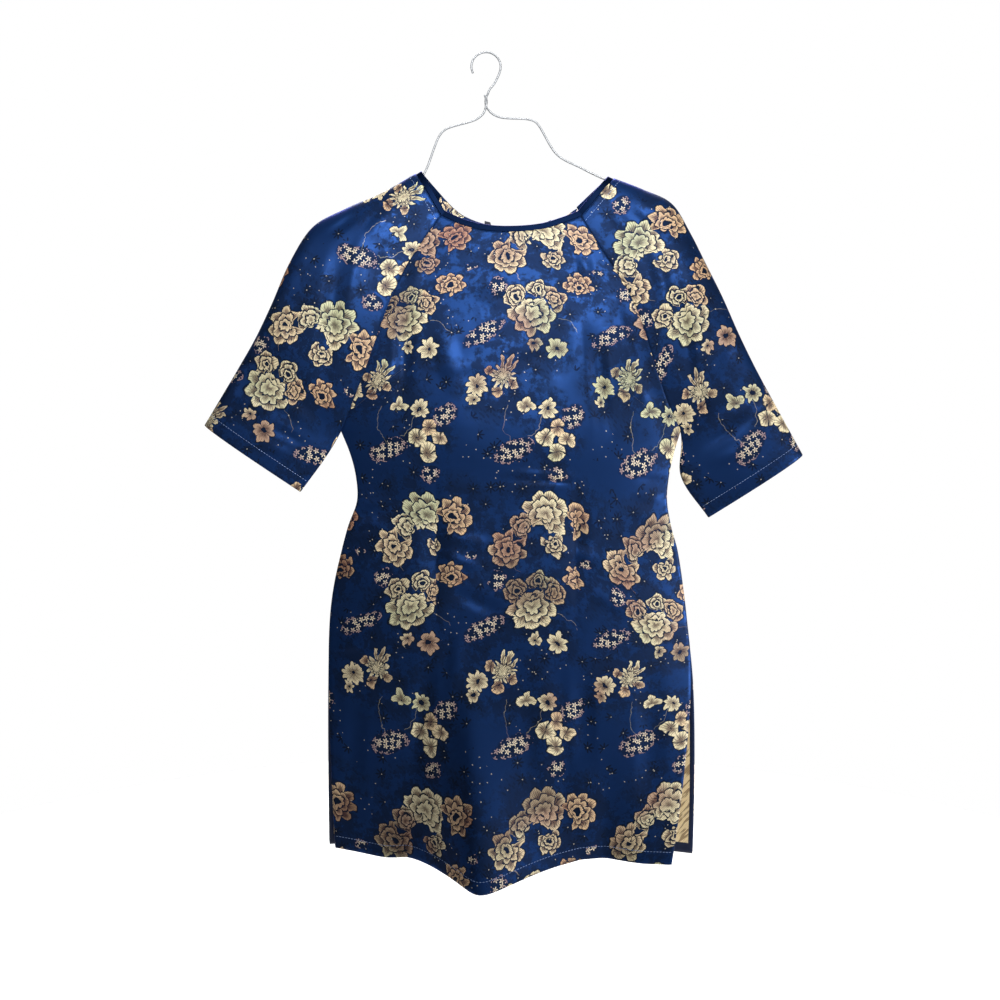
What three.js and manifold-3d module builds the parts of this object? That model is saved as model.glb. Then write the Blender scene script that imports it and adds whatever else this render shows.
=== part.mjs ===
// A short-sleeved fitted dress of satin brocade, hung by its shoulders on a bent-wire hanger.
// Millimetres, +Z up, +X across the dress, and the front of the dress faces -Y.
// The origin is the point inside the hook where the hanger rests on a rail.

import Module from 'manifold-3d';
import * as THREE from 'three';
import { mergeVertices } from 'three/addons/utils/BufferGeometryUtils.js';

// ---- driving dimensions ------------------------------------------------------------

const CLOTH = 1.2;             // thickness of the brocade with its turned edges
const SEAM = 0.34;             // gap left between two pieces that are sewn together
const FLAT = (CLOTH + SEAM) / 2;   // how far each layer stands off the middle at a side seam
const BAND_WIDTH = 7;          // neck band, from the panels' edge to the neckline
const TAPE = 1;                // thickness of the zip tape and the label
const TAPE_SHOWN = 2.2;        // tape that stands past the cloth's edge where the zip is open
const TAPE_HIDDEN = 6;         // tape behind the cloth
const ZIP_FOOT_Z = -560;       // lower end of the zip tapes
const FACING_DEPTH = 38;       // how far the back neck facing reaches down inside
const LABEL = { width: 24, height: 22, fromOpening: 9 };
const WIRE = 2.6;              // hanger wire diameter
const HOOK_RADIUS = 17;        // inside of the hook
const RAGLAN_STEPS = 11;       // mesh rows along each raglan seam
const SIDE_STEPS = 25;         // mesh rows from the armpits to the hem
const ARMPIT_Z = -472;
const SLIT_TOP_Z = -735;       // the side seams are sewn down to here
const HEM_START_Z = -850;      // below here the rows follow the hem's own curve
const HEM_Z = -990;            // mean height of the hem

// Side outline of the body below the armpits, with how far the front bows forward and the
// back bows backward at the middle of the section.
const BODY = [
  { at: ARMPIT_Z, left: -181, right: 243, front: 40, back: 25 },
  { at: -502, left: -169, right: 234, front: 37, back: 21 },
  { at: -531, left: -162, right: 228, front: 33, back: 18 },
  { at: -560, left: -161, right: 226, front: 30, back: 17 },
  { at: -591, left: -172, right: 231, front: 29, back: 18 },
  { at: -621, left: -180, right: 239, front: 30, back: 21 },
  { at: -666, left: -190, right: 246, front: 33, back: 25 },
  { at: -709, left: -195, right: 251, front: 34, back: 27 },
  { at: -790, left: -197, right: 259, front: 31, back: 28 },
  { at: -900, left: -197, right: 261, front: 27, back: 29 },
  { at: HEM_Z, left: -196, right: 259, front: 24, back: 30 },
];

// Each sleeve in stations from the neck (0) past the armpit (1) to the cuff (2). The seam is
// the raglan seam down to the armpit and the underarm seam after it; the fold is the line
// along the top of the shoulder and arm. Front and back are how far the two raglan seams
// stand off the middle, rise is how much higher the back one runs, and full is how much
// the sleeve swells between seam and fold.
const LEFT_SLEEVE = [
  { at: 0, seamX: -56, seamZ: -205, foldX: -88, foldZ: -151, front: 12, back: 11, rise: 18, full: 3 },
  { at: 0.14, seamX: -76, seamZ: -234, foldX: -126, foldZ: -173, front: 15, back: 13, rise: 12, full: 4 },
  { at: 0.3, seamX: -98, seamZ: -268, foldX: -175, foldZ: -195, front: 19, back: 15, rise: 5, full: 6 },
  { at: 0.44, seamX: -116, seamZ: -307, foldX: -216, foldZ: -218, front: 22, back: 17, rise: 0, full: 9 },
  { at: 0.58, seamX: -133, seamZ: -352, foldX: -244, foldZ: -261, front: 22, back: 17, rise: 0, full: 12 },
  { at: 0.74, seamX: -150, seamZ: -399, foldX: -267, foldZ: -314, front: 18, back: 14, rise: 0, full: 14 },
  { at: 0.88, seamX: -167, seamZ: -441, foldX: -287, foldZ: -356, front: 11, back: 9, rise: 0, full: 15 },
  { at: 1, seamX: -181, seamZ: -472, foldX: -304, foldZ: -386, front: FLAT, back: FLAT, rise: 0, full: 16 },
  { at: 1.5, seamX: -202, seamZ: -507, foldX: -327, foldZ: -425, front: FLAT, back: FLAT, rise: 0, full: 15 },
  { at: 2, seamX: -232, seamZ: -548, foldX: -351, foldZ: -465, front: FLAT, back: FLAT, rise: 0, full: 14 },
];
const RIGHT_SLEEVE = [
  { at: 0, seamX: 118, seamZ: -206, foldX: 160, foldZ: -157, front: 12, back: 11, rise: 9, full: 3 },
  { at: 0.14, seamX: 135, seamZ: -235, foldX: 196, foldZ: -171, front: 15, back: 13, rise: 6, full: 4 },
  { at: 0.3, seamX: 157, seamZ: -269, foldX: 232, foldZ: -189, front: 19, back: 15, rise: 2, full: 6 },
  { at: 0.44, seamX: 177, seamZ: -303, foldX: 255, foldZ: -226, front: 22, back: 17, rise: 0, full: 9 },
  { at: 0.58, seamX: 193, seamZ: -341, foldX: 274, foldZ: -264, front: 23, back: 17, rise: 0, full: 12 },
  { at: 0.74, seamX: 208, seamZ: -388, foldX: 295, foldZ: -306, front: 19, back: 14, rise: 0, full: 14 },
  { at: 0.88, seamX: 225, seamZ: -435, foldX: 315, foldZ: -351, front: 11, back: 9, rise: 0, full: 16 },
  { at: 1, seamX: 243, seamZ: -472, foldX: 335, foldZ: -392, front: FLAT, back: FLAT, rise: 0, full: 18 },
  { at: 1.5, seamX: 244, seamZ: -529, foldX: 368, foldZ: -453, front: FLAT, back: FLAT, rise: 0, full: 17 },
  { at: 2, seamX: 278, seamZ: -580, foldX: 395, foldZ: -502, front: FLAT, back: FLAT, rise: 0, full: 16 },
];

// Between the raglan seams: how far the front and back bow out at the middle, by station.
const YOKE = [
  { at: 0, front: 16, back: 15 },
  { at: 0.3, front: 25, back: 20 },
  { at: 0.6, front: 36, back: 24 },
  { at: 1, front: 40, back: 25 },
];

// How far the front and back necklines dip below the line between the raglan tops.
// across runs from the left raglan seam (0) to the right one (1).
const NECK_DIP = [
  { at: 0, front: 0, back: 0 },
  { at: 0.07, front: 6, back: 11 },
  { at: 0.15, front: 12, back: 20 },
  { at: 0.3, front: 18.5, back: 28 },
  { at: 0.5, front: 20.5, back: 30 },
  { at: 0.72, front: 17, back: 27 },
  { at: 0.88, front: 8.5, back: 14 },
  { at: 1, front: 0, back: 0 },
];
const NECK_DIP_FADE = 0.75;    // station by which the mesh rows are straight again

// The centre-back seam, and how wide its two edges stand apart where the zip is open.
const BACK_OPENING = [
  { at: -1010, middle: 33, gap: 0 },
  { at: -560, middle: 37, gap: 0 },
  { at: -402, middle: 39, gap: 0 },
  { at: -380, middle: 39, gap: 6 },
  { at: -330, middle: 39.5, gap: 27 },
  { at: -270, middle: 40, gap: 53 },
  { at: -218, middle: 40, gap: 71 },
];

// Folds that start below the hips and open towards the hem. Reach is the half width on
// either side, lift is how far the fold stands out at its foot, and dip is how much lower
// the hem hangs there.
const HEM_FOLDS = {
  front: [
    { topX: -24, topZ: -735, footX: -6, footZ: -1018, leftReach: 84, rightReach: 114, lift: 58, dip: 32 },
    { topX: 150, topZ: -860, footX: 146, footZ: -995, leftReach: 42, rightReach: 42, lift: -8, dip: -2 },
    { topX: -120, topZ: -790, footX: -122, footZ: -992, leftReach: 64, rightReach: 80, lift: 4, dip: 7 },
  ],
  back: [
    { topX: -80, topZ: -780, footX: -92, footZ: -995, leftReach: 60, rightReach: 70, lift: 14, dip: 3 },
    { topX: 150, topZ: -800, footX: 160, footZ: -995, leftReach: 68, rightReach: 58, lift: 12, dip: 2 },
  ],
};
const CREST = 0.15;            // how much of a hem fold's reach its rounded top takes up
// Soft drag folds on the panels, each along a line and dying out at both ends.
const DRAG_FOLDS = {
  front: [
    { fromX: 186, fromZ: -352, toX: 214, toZ: -462, reach: 20, lift: -7 },
    { fromX: 130, fromZ: -320, toX: 148, toZ: -500, reach: 17, lift: -6 },
    { fromX: -96, fromZ: -300, toX: -104, toZ: -460, reach: 16, lift: -6 },
    { fromX: -158, fromZ: -424, toX: -96, toZ: -392, reach: 18, lift: 5 },
    { fromX: -60, fromZ: -545, toX: -64, toZ: -700, reach: 22, lift: -4 },
    { fromX: 112, fromZ: -540, toX: 110, toZ: -690, reach: 22, lift: -4 },
    { fromX: -172, fromZ: -650, toX: -98, toZ: -560, reach: 18, lift: 4 },
  ],
  back: [
    { fromX: -90, fromZ: -500, toX: -92, toZ: -660, reach: 24, lift: -5 },
    { fromX: 160, fromZ: -500, toX: 162, toZ: -660, reach: 24, lift: -5 },
    { fromX: -150, fromZ: -590, toX: -60, toZ: -560, reach: 18, lift: 4 },
    { fromX: 212, fromZ: -580, toX: 130, toZ: -548, reach: 18, lift: 4 },
  ],
};
// The deep troughs between each sleeve and the body, where the arm hangs empty, and the
// smaller folds that run from the underarm. Lift is outward on either face.
const SLEEVE_FOLDS = {
  left: {
    front: [
      { fromX: -176, fromZ: -236, toX: -204, toZ: -462, reach: 19, lift: -9 },
      { fromX: -198, fromZ: -482, toX: -262, toZ: -424, reach: 12, lift: 3 },
    ],
    back: [{ fromX: -180, fromZ: -240, toX: -208, toZ: -460, reach: 20, lift: -6 }],
  },
  right: {
    front: [
      { fromX: 226, fromZ: -250, toX: 256, toZ: -462, reach: 18, lift: -10 },
      { fromX: 262, fromZ: -470, toX: 306, toZ: -404, reach: 13, lift: 3 },
    ],
    back: [{ fromX: 228, fromZ: -250, toX: 258, toZ: -460, reach: 20, lift: -6 }],
  },
};
const SLEEVE_FREE = 10;        // how sharply those folds die out at the seam and the fold
// At the hem: how far each slit gapes, and how far its front edge is drawn in.
const SLITS = { left: { gape: 9, drawn: 9 }, right: { gape: 32, drawn: 32 } };
const BACK_GAPE = 0.15;        // share of the gape that the back panel takes
const HEM_FALL = { left: 1, right: -12 };

// The zip slider: two plates joined by a post between the cloth's edges, and a bail outside
// that the pull hangs from.
const SLIDER = { z: -378, height: 11, plate: 7, plateDepth: 1.6, post: 2.2, clear: 0.4 };
const BAIL = { width: 1.6, height: 6.4, rise: 3, thick: 0.9 };
const PULL = { thick: 1, bar: 1.2, hole: 5, holeWidth: 2.6, side: 1.1, length: 24, foot: 7 };
const PULL_DROP = 1.2;         // the pull's bar rests this far below the middle of the bail

// The hanger's frame, from the right strand of the neck round to the left one: x and z.
const HANGER_FRAME = [
  { x: 1.6, z: -68 }, { x: 14, z: -79 }, { x: 54, z: -83 }, { x: 63, z: -87 },
  { x: 89, z: -127 }, { x: 118, z: -143 }, { x: 147, z: -157 }, { x: 196, z: -175 },
  { x: 228, z: -193 }, { x: 240, z: -211 }, { x: 226, z: -228 }, { x: 150, z: -230.5 },
  { x: 0, z: -235 }, { x: -130, z: -239 }, { x: -206, z: -241 }, { x: -217, z: -231 },
  { x: -208, z: -218 }, { x: -174, z: -200 }, { x: -125, z: -178.5 }, { x: -82, z: -157 },
  { x: -75, z: -146 }, { x: -58, z: -103 }, { x: -50, z: -95 }, { x: -11, z: -82 },
  { x: -1.6, z: -72 },
];
const NECK_TOP_Z = -52;        // top of the hanger's two strands, where the hook begins

const MATERIALS = {
  brocade: new THREE.MeshStandardMaterial({ color: 0x14245e, roughness: 0.42, metalness: 0 }),
  tape: new THREE.MeshStandardMaterial({ color: 0x10121c, roughness: 0.8, metalness: 0 }),
  zip: new THREE.MeshStandardMaterial({ color: 0x1a2142, roughness: 0.4, metalness: 0.3 }),
  label: new THREE.MeshStandardMaterial({ color: 0xeceae4, roughness: 0.7, metalness: 0 }),
  wire: new THREE.MeshStandardMaterial({ color: 0xb9bcc0, roughness: 0.35, metalness: 0.7 }),
};

const wasm = await Module();
wasm.setup();

const dress = new THREE.Group();

// ---- curves and sheets -------------------------------------------------------------

// Reads one column of a table as a smooth curve through its rows, by the column "at".
function read(table, column, at) {
  const rising = table[0].at < table[table.length - 1].at;
  const rows = rising ? table : [...table].reverse();
  const last = rows.length - 1;
  let i = 0;
  while (i < last - 1 && at > rows[i + 1].at) i += 1;
  const slope = (k) => {
    const before = rows[Math.max(k - 1, 0)];
    const after = rows[Math.min(k + 1, last)];
    return (after[column] - before[column]) / (after.at - before.at);
  };
  const span = rows[i + 1].at - rows[i].at;
  const t = THREE.MathUtils.clamp((at - rows[i].at) / span, 0, 1);
  const rise = rows[i + 1][column] - rows[i][column];
  const curve = (slope(i) * span * (1 - t) - slope(i + 1) * span * t) * t * (1 - t);
  return rows[i][column] + rise * t * t * (3 - 2 * t) + curve;
}

// 1 at the middle of a bump, falling smoothly to 0 at its reach.
function bump(distance) {
  const d = Math.min(Math.abs(distance), 1);
  return (1 - d * d) ** 2;
}

// A ridge that is narrow and rounded along its top and runs out softly at its foot.
function ridge(distance) {
  const off = Math.hypot(distance, CREST) - CREST;
  return (1 - Math.min(off, 1)) ** 1.4;
}

function hemFolds(face, x, z, column) {
  let sum = 0;
  for (const fold of HEM_FOLDS[face]) {
    const down = THREE.MathUtils.clamp((fold.topZ - z) / (fold.topZ - fold.footZ), 0, 1);
    const middle = THREE.MathUtils.lerp(fold.topX, fold.footX, down);
    const reach = (x < middle ? fold.leftReach : fold.rightReach) * (0.6 + 0.4 * down);
    sum += fold[column] * ridge((x - middle) / reach) * down ** 1.4;
  }
  return sum;
}

function dragFolds(folds, x, z) {
  let sum = 0;
  for (const fold of folds) {
    const line = new THREE.Vector2(fold.toX - fold.fromX, fold.toZ - fold.fromZ);
    const along = new THREE.Vector2(x - fold.fromX, z - fold.fromZ);
    const t = along.dot(line) / line.lengthSq();
    const off = along.cross(line) / line.length();
    sum += fold.lift * bump(off / fold.reach) * bump(2 * t - 1);
  }
  return sum;
}

function steps(count) {
  return Array.from({ length: count + 1 }, (_, i) => i / count);
}

// Turns a grid of points on the middle of a sheet into a closed wall of the cloth's
// thickness: both faces along the sheet's normals, and a rim all round.
function wall(grid, thickness) {
  const rows = grid.length;
  const columns = grid[0].length;
  const positions = [];
  const normalAt = (r, c) => {
    const along = grid[Math.min(r + 1, rows - 1)][c].clone().sub(grid[Math.max(r - 1, 0)][c]);
    const across = grid[r][Math.min(c + 1, columns - 1)].clone().sub(grid[r][Math.max(c - 1, 0)]);
    return across.cross(along).normalize();
  };
  for (const side of [0.5, -0.5]) {
    for (let r = 0; r < rows; r += 1) {
      for (let c = 0; c < columns; c += 1) {
        const point = grid[r][c].clone().addScaledVector(normalAt(r, c), side * thickness);
        positions.push(point.x, point.y, point.z);
      }
    }
  }
  const outer = (r, c) => r * columns + c;
  const inner = (r, c) => rows * columns + outer(r, c);
  const faces = [];
  const quad = (a, b, c, d) => faces.push(a, b, c, a, c, d);
  for (let r = 0; r < rows - 1; r += 1) {
    for (let c = 0; c < columns - 1; c += 1) {
      quad(outer(r, c), outer(r, c + 1), outer(r + 1, c + 1), outer(r + 1, c));
      quad(inner(r, c), inner(r + 1, c), inner(r + 1, c + 1), inner(r, c + 1));
    }
  }
  for (let c = 0; c < columns - 1; c += 1) {
    quad(outer(0, c), inner(0, c), inner(0, c + 1), outer(0, c + 1));
    quad(outer(rows - 1, c), outer(rows - 1, c + 1), inner(rows - 1, c + 1), inner(rows - 1, c));
  }
  for (let r = 0; r < rows - 1; r += 1) {
    quad(outer(r, 0), outer(r + 1, 0), inner(r + 1, 0), inner(r, 0));
    quad(outer(r, columns - 1), inner(r, columns - 1), inner(r + 1, columns - 1), outer(r + 1, columns - 1));
  }
  const geometry = new THREE.BufferGeometry();
  geometry.setAttribute('position', new THREE.Float32BufferAttribute(positions, 3));
  geometry.setIndex(facingOut(positions, faces));
  geometry.computeVertexNormals();
  return geometry;
}

// Turns the faces round if the solid that they close is inside out.
function facingOut(positions, faces) {
  const corner = (i) => new THREE.Vector3().fromArray(positions, 3 * i);
  let volume = 0;
  for (let f = 0; f < faces.length; f += 3) {
    volume += corner(faces[f]).dot(corner(faces[f + 1]).cross(corner(faces[f + 2])));
  }
  if (volume > 0) return faces;
  const turned = [];
  for (let f = 0; f < faces.length; f += 3) turned.push(faces[f], faces[f + 2], faces[f + 1]);
  return turned;
}

function add(name, geometry, material) {
  const mesh = new THREE.Mesh(geometry, MATERIALS[material]);
  mesh.name = name;
  dress.add(mesh);
  return mesh;
}

// ---- body panels -------------------------------------------------------------------

// The mesh rows of the body: first the stations along the raglan seams, then heights from
// the armpits down to the hem, closer together where the outline turns.
const RAGLAN_ROWS = steps(RAGLAN_STEPS);
const SIDE_ROWS = steps(SIDE_STEPS).slice(1).map((t) => THREE.MathUtils.lerp(ARMPIT_Z, HEM_Z, t));

// A point of a sleeve's seam, as x and z. The back raglan seam runs higher near the neck.
function seamPoint(sleeve, station, face) {
  const rise = face === 'back' ? read(sleeve, 'rise', station) : 0;
  return new THREE.Vector2(read(sleeve, 'seamX', station), read(sleeve, 'seamZ', station) + rise);
}

// One row across the body: its two ends, how far each stands off the middle, and its bow.
function bodyRow(row, face) {
  if (row < RAGLAN_ROWS.length) {
    const station = RAGLAN_ROWS[row];
    const end = (sleeve) => {
      const seam = seamPoint(sleeve, station, face);
      return { x: seam.x, z: seam.y, depth: read(sleeve, face, station) };
    };
    const fade = 1 - THREE.MathUtils.smoothstep(station, 0, NECK_DIP_FADE);
    return { left: end(LEFT_SLEEVE), right: end(RIGHT_SLEEVE), bow: read(YOKE, face, station), fade, hem: 0 };
  }
  const z = SIDE_ROWS[row - RAGLAN_ROWS.length];
  const slit = THREE.MathUtils.clamp((SLIT_TOP_Z - z) / (SLIT_TOP_Z - HEM_Z), 0, 1);
  const open = slit ** 1.3;
  const end = (side) => {
    const inward = side === 'left' ? 1 : -1;
    const drawn = face === 'front' ? inward * SLITS[side].drawn * slit ** 1.4 : 0;
    const gape = (face === 'front' ? 1 : BACK_GAPE) * SLITS[side].gape * open;
    return { x: read(BODY, side, z) + drawn, z, depth: FLAT + gape };
  };
  const hem = THREE.MathUtils.smoothstep(-z, -HEM_START_Z, -HEM_Z);
  return { left: end('left'), right: end('right'), bow: read(BODY, face, z), fade: 0, hem };
}

// A point of the front or back, at a share of the way across from its left edge.
function bodyPoint(row, across, face) {
  const { left, right, bow, fade, hem } = bodyRow(row, face);
  const x = THREE.MathUtils.lerp(left.x, right.x, across);
  let z = THREE.MathUtils.lerp(left.z, right.z, across) - fade * read(NECK_DIP, face, across);
  z += hem * THREE.MathUtils.lerp(HEM_FALL.left, HEM_FALL.right, across);
  const edge = THREE.MathUtils.lerp(left.depth, right.depth, across);
  const middle = (left.depth + right.depth) / 2;
  const swell = 1 - Math.abs(2 * across - 1) ** 2.4;
  const free = 1 - Math.abs(2 * across - 1) ** 8;
  const bowed = edge + Math.max(bow - middle, 0) * swell;
  const depth = bowed + hemFolds(face, x, z, 'lift') + free * dragFolds(DRAG_FOLDS[face], x, z);
  z -= hem * hemFolds(face, x, z, 'dip');
  return new THREE.Vector3(x, face === 'front' ? -depth : depth, z);
}

const BODY_ROWS = RAGLAN_ROWS.length + SIDE_ROWS.length;

// Shares across the front: the columns gather towards the big hem fold.
const FRONT_COLUMNS = 26;
const FOLD_SHARE = 0.42;
const GATHER = 0.88;
function frontShare(t) {
  return t + GATHER * (FOLD_SHARE - t) * t * (1 - t);
}

function frontPanel() {
  const grid = [];
  for (let row = 0; row < BODY_ROWS; row += 1) {
    const { left, right } = bodyRow(row, 'front');
    const inset = SEAM / 2 / (right.x - left.x);
    grid.push(steps(FRONT_COLUMNS).map((t) => {
      const across = THREE.MathUtils.lerp(inset, 1 - inset, frontShare(t));
      return bodyPoint(row, across, 'front');
    }));
  }
  return grid;
}

// Each back half runs from its side to the edge of the centre-back opening.
const BACK_COLUMNS = 11;
function backPanel(side) {
  const grid = [];
  for (let row = 0; row < BODY_ROWS; row += 1) {
    const { left, right } = bodyRow(row, 'back');
    const width = right.x - left.x;
    const inset = SEAM / 2 / width;
    const middle = bodyPoint(row, 0.5, 'back').z;
    const apart = (Math.max(read(BACK_OPENING, 'gap', middle), 0) + SEAM) / 2;
    const edgeX = read(BACK_OPENING, 'middle', middle) + (side === 'left' ? -apart : apart);
    const edge = (edgeX - left.x) / width;
    const outer = side === 'left' ? inset : 1 - inset;
    grid.push(steps(BACK_COLUMNS).map((t) => bodyPoint(row, THREE.MathUtils.lerp(outer, edge, t), 'back')));
  }
  return grid;
}

// ---- sleeves -----------------------------------------------------------------------

const CUFF_STEPS = 7;
const SLEEVE_ROWS = [...RAGLAN_ROWS, ...steps(CUFF_STEPS).slice(1).map((t) => 1 + t)];
const SLEEVE_COLUMNS = 11;     // from the seam to the fold, on each face

// A point of a sleeve: turn runs from the front seam (0) over the fold (90 degrees) to the
// back seam (180 degrees).
function sleevePoint(table, folds, station, turn) {
  const near = Math.sin(turn);
  const face = turn <= Math.PI / 2 ? 'front' : 'back';
  const seam = seamPoint(table, station, face);
  const fold = new THREE.Vector2(read(table, 'foldX', station), read(table, 'foldZ', station));
  const inset = SEAM / 2 / seam.distanceTo(fold);
  const share = inset + (1 - inset) * near;
  const full = read(table, 'full', station);
  const y = -read(table, face, station) * Math.cos(turn) - full * Math.sin(2 * turn);
  const place = seam.lerp(fold, share);
  const free = (1 - near ** SLEEVE_FREE) * (1 - Math.abs(Math.cos(turn)) ** SLEEVE_FREE);
  const lift = free * dragFolds(folds[face], place.x, place.y);
  return new THREE.Vector3(place.x, y - Math.sign(Math.cos(turn)) * lift, place.y);
}

function sleeve(table, folds) {
  const turns = steps(2 * SLEEVE_COLUMNS).map((t) => t * Math.PI);
  return SLEEVE_ROWS.map((station) => turns.map((turn) => sleevePoint(table, folds, station, turn)));
}

// The middle sheet of each sewn piece, which the trim is placed from as well.
const grids = {
  front: frontPanel(),
  back_left: backPanel('left'),
  back_right: backPanel('right'),
  sleeve_left: sleeve(LEFT_SLEEVE, SLEEVE_FOLDS.left),
  sleeve_right: sleeve(RIGHT_SLEEVE, SLEEVE_FOLDS.right),
};
for (const [name, grid] of Object.entries(grids)) add(name, wall(grid, CLOTH), 'brocade');

// ---- neck band ---------------------------------------------------------------------

// The panels' top edges in order round the neck, from the left edge of the back opening over
// the left shoulder, across the front and back to the right edge of the opening. Each is
// given with the row of points below it, so that the band can carry on from the sheet.
function topEdge(grid, turned) {
  const pairs = grid[0].map((edge, i) => ({ edge, below: grid[1][i] }));
  return turned ? pairs.reverse() : pairs;
}

function neckBand() {
  const ring = [
    ...topEdge(grids.back_left, true),
    ...topEdge(grids.sleeve_left, true),
    ...topEdge(grids.front, false),
    ...topEdge(grids.sleeve_right, false),
    ...topEdge(grids.back_right, false).reverse(),
  ];
  const kept = ring.filter((pair, i) => i === 0 || pair.edge.distanceTo(ring[i - 1].edge) > 2 * SEAM);
  const upward = kept.map((pair) => pair.edge.clone().sub(pair.below).normalize());
  const smooth = upward.map((_, i) => {
    const sum = new THREE.Vector3();
    for (let k = -3; k <= 3; k += 1) sum.add(upward[THREE.MathUtils.clamp(i + k, 0, upward.length - 1)]);
    return sum.normalize();
  });
  const rows = [SEAM, SEAM + BAND_WIDTH].map((rise) => (
    kept.map((pair, i) => pair.edge.clone().addScaledVector(smooth[i], rise))
  ));
  return wall(rows.reverse(), CLOTH);
}

add('neck_band', neckBand(), 'brocade');

// ---- label and zip -----------------------------------------------------------------

// A point of a sheet between its grid points, moved off it to the inside of the dress.
function insideOf(grid, row, column, depth) {
  const r = THREE.MathUtils.clamp(Math.floor(row), 0, grid.length - 2);
  const c = THREE.MathUtils.clamp(Math.floor(column), 0, grid[0].length - 2);
  const near = grid[r][c].clone().lerp(grid[r][c + 1], column - c);
  const far = grid[r + 1][c].clone().lerp(grid[r + 1][c + 1], column - c);
  const down = far.clone().sub(near);
  const across = grid[r][c + 1].clone().sub(grid[r][c]);
  const outward = across.cross(down).normalize();
  if (outward.y < 0) outward.negate();
  return near.lerp(far, row - r).addScaledVector(outward, -depth);
}

// The row of a grid at which its last column reaches a height.
function rowAt(grid, z) {
  const edge = grid.map((row) => row[row.length - 1].z);
  let r = 0;
  while (r < edge.length - 2 && edge[r + 1] > z) r += 1;
  return r + (edge[r] - z) / (edge[r] - edge[r + 1]);
}

// What lies inside the back neck, layer on layer: the zip tape, the facing, the label.
const BEHIND = CLOTH / 2 + SEAM + TAPE / 2;
const FACING_BEHIND = BEHIND + TAPE + SEAM;
const LABEL_BEHIND = FACING_BEHIND + TAPE + SEAM;

// The row of a grid, above its first one, that lies just below the top of the neck band.
function topRow(grid) {
  const last = grid[0].length - 1;
  return (1 - BAND_WIDTH) / grid[0][last].distanceTo(grid[1][last]);
}
const TAPE_STEPS = 18;

// A tape behind one edge of the back opening, reaching past that edge where the zip is open.
function zipTape(side) {
  const grid = grids[`back_${side}`];
  const last = grid[0].length - 1;
  const foot = rowAt(grid, ZIP_FOOT_Z);
  return wall(steps(TAPE_STEPS).map((t) => {
    const row = THREE.MathUtils.lerp(topRow(grid), foot, t);
    const column = insideOf(grid, row, last, 0).distanceTo(insideOf(grid, row, last - 1, 0));
    const gap = Math.max(read(BACK_OPENING, 'gap', insideOf(grid, row, last, 0).z), 0);
    const shown = THREE.MathUtils.clamp(gap / 2 - 1.5, -0.05, TAPE_SHOWN);
    return [shown, (shown - TAPE_HIDDEN) / 2, -TAPE_HIDDEN].map((past) => (
      insideOf(grid, row, last + past / column, BEHIND)
    ));
  }), TAPE);
}

add('zip_tape_left', zipTape('left'), 'tape');
add('zip_tape_right', zipTape('right'), 'tape');

// The facing inside the back neck, from the raglan seam to the zip tape.
const FACING_START = 0.4;      // first column, just clear of the raglan seam
function facing(side) {
  const grid = grids[`back_${side}`];
  const last = grid[0].length - 1;
  const row = grid[0][last].distanceTo(grid[1][last]);
  return wall(steps(3).map((down) => {
    const at = THREE.MathUtils.lerp(topRow(grid), FACING_DEPTH / row, down);
    const from = insideOf(grid, at, 0, 0);
    const to = insideOf(grid, at, last, 0);
    const right = last - (TAPE_HIDDEN * last) / from.distanceTo(to);
    return steps(BACK_COLUMNS).map((t) => {
      const column = THREE.MathUtils.lerp(FACING_START, right, t);
      return insideOf(grid, at, column, FACING_BEHIND);
    });
  }), TAPE);
}

add('neck_facing_left', facing('left'), 'brocade');
add('neck_facing_right', facing('right'), 'brocade');

function label() {
  const grid = grids.back_left;
  const last = grid[0].length - 1;
  const column = grid[0][0].distanceTo(grid[0][last]) / last;
  const row = grid[0][last].distanceTo(grid[1][last]);
  const right = last - LABEL.fromOpening / column;
  return wall(steps(2).map((down) => steps(4).map((t) => (
    insideOf(grid, 0.05 + (down * LABEL.height) / row, right - (t * LABEL.width) / column, LABEL_BEHIND)
  ))), TAPE);
}

add('neck_label', label(), 'label');

function solidOf(geometry) {
  const bare = geometry.clone();
  bare.deleteAttribute('normal');
  bare.deleteAttribute('uv');
  const merged = mergeVertices(bare);
  return new wasm.Manifold(new wasm.Mesh({
    numProp: 3,
    vertProperties: new Float32Array(merged.attributes.position.array),
    triVerts: new Uint32Array(merged.index.array),
  }));
}

function geometryOf(solid) {
  const mesh = solid.getMesh();
  const geometry = new THREE.BufferGeometry();
  geometry.setAttribute('position', new THREE.Float32BufferAttribute(mesh.vertProperties, 3));
  geometry.setIndex(Array.from(mesh.triVerts));
  geometry.computeVertexNormals();
  return geometry;
}

function plate(points, depth) {
  const outline = new THREE.Shape(points.map(([x, y]) => new THREE.Vector2(x, y)));
  return new THREE.ExtrudeGeometry(outline, { depth, bevelEnabled: false });
}

const edgeAt = insideOf(grids.back_left, rowAt(grids.back_left, SLIDER.z), BACK_COLUMNS, 0);
const zipX = read(BACK_OPENING, 'middle', SLIDER.z);
const outerFace = edgeAt.y + CLOTH / 2 + SLIDER.clear + SLIDER.plateDepth;
const PULL_BAR = { y: outerFace + (BAIL.rise - BAIL.thick) / 2, z: SLIDER.z - PULL_DROP };

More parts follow.
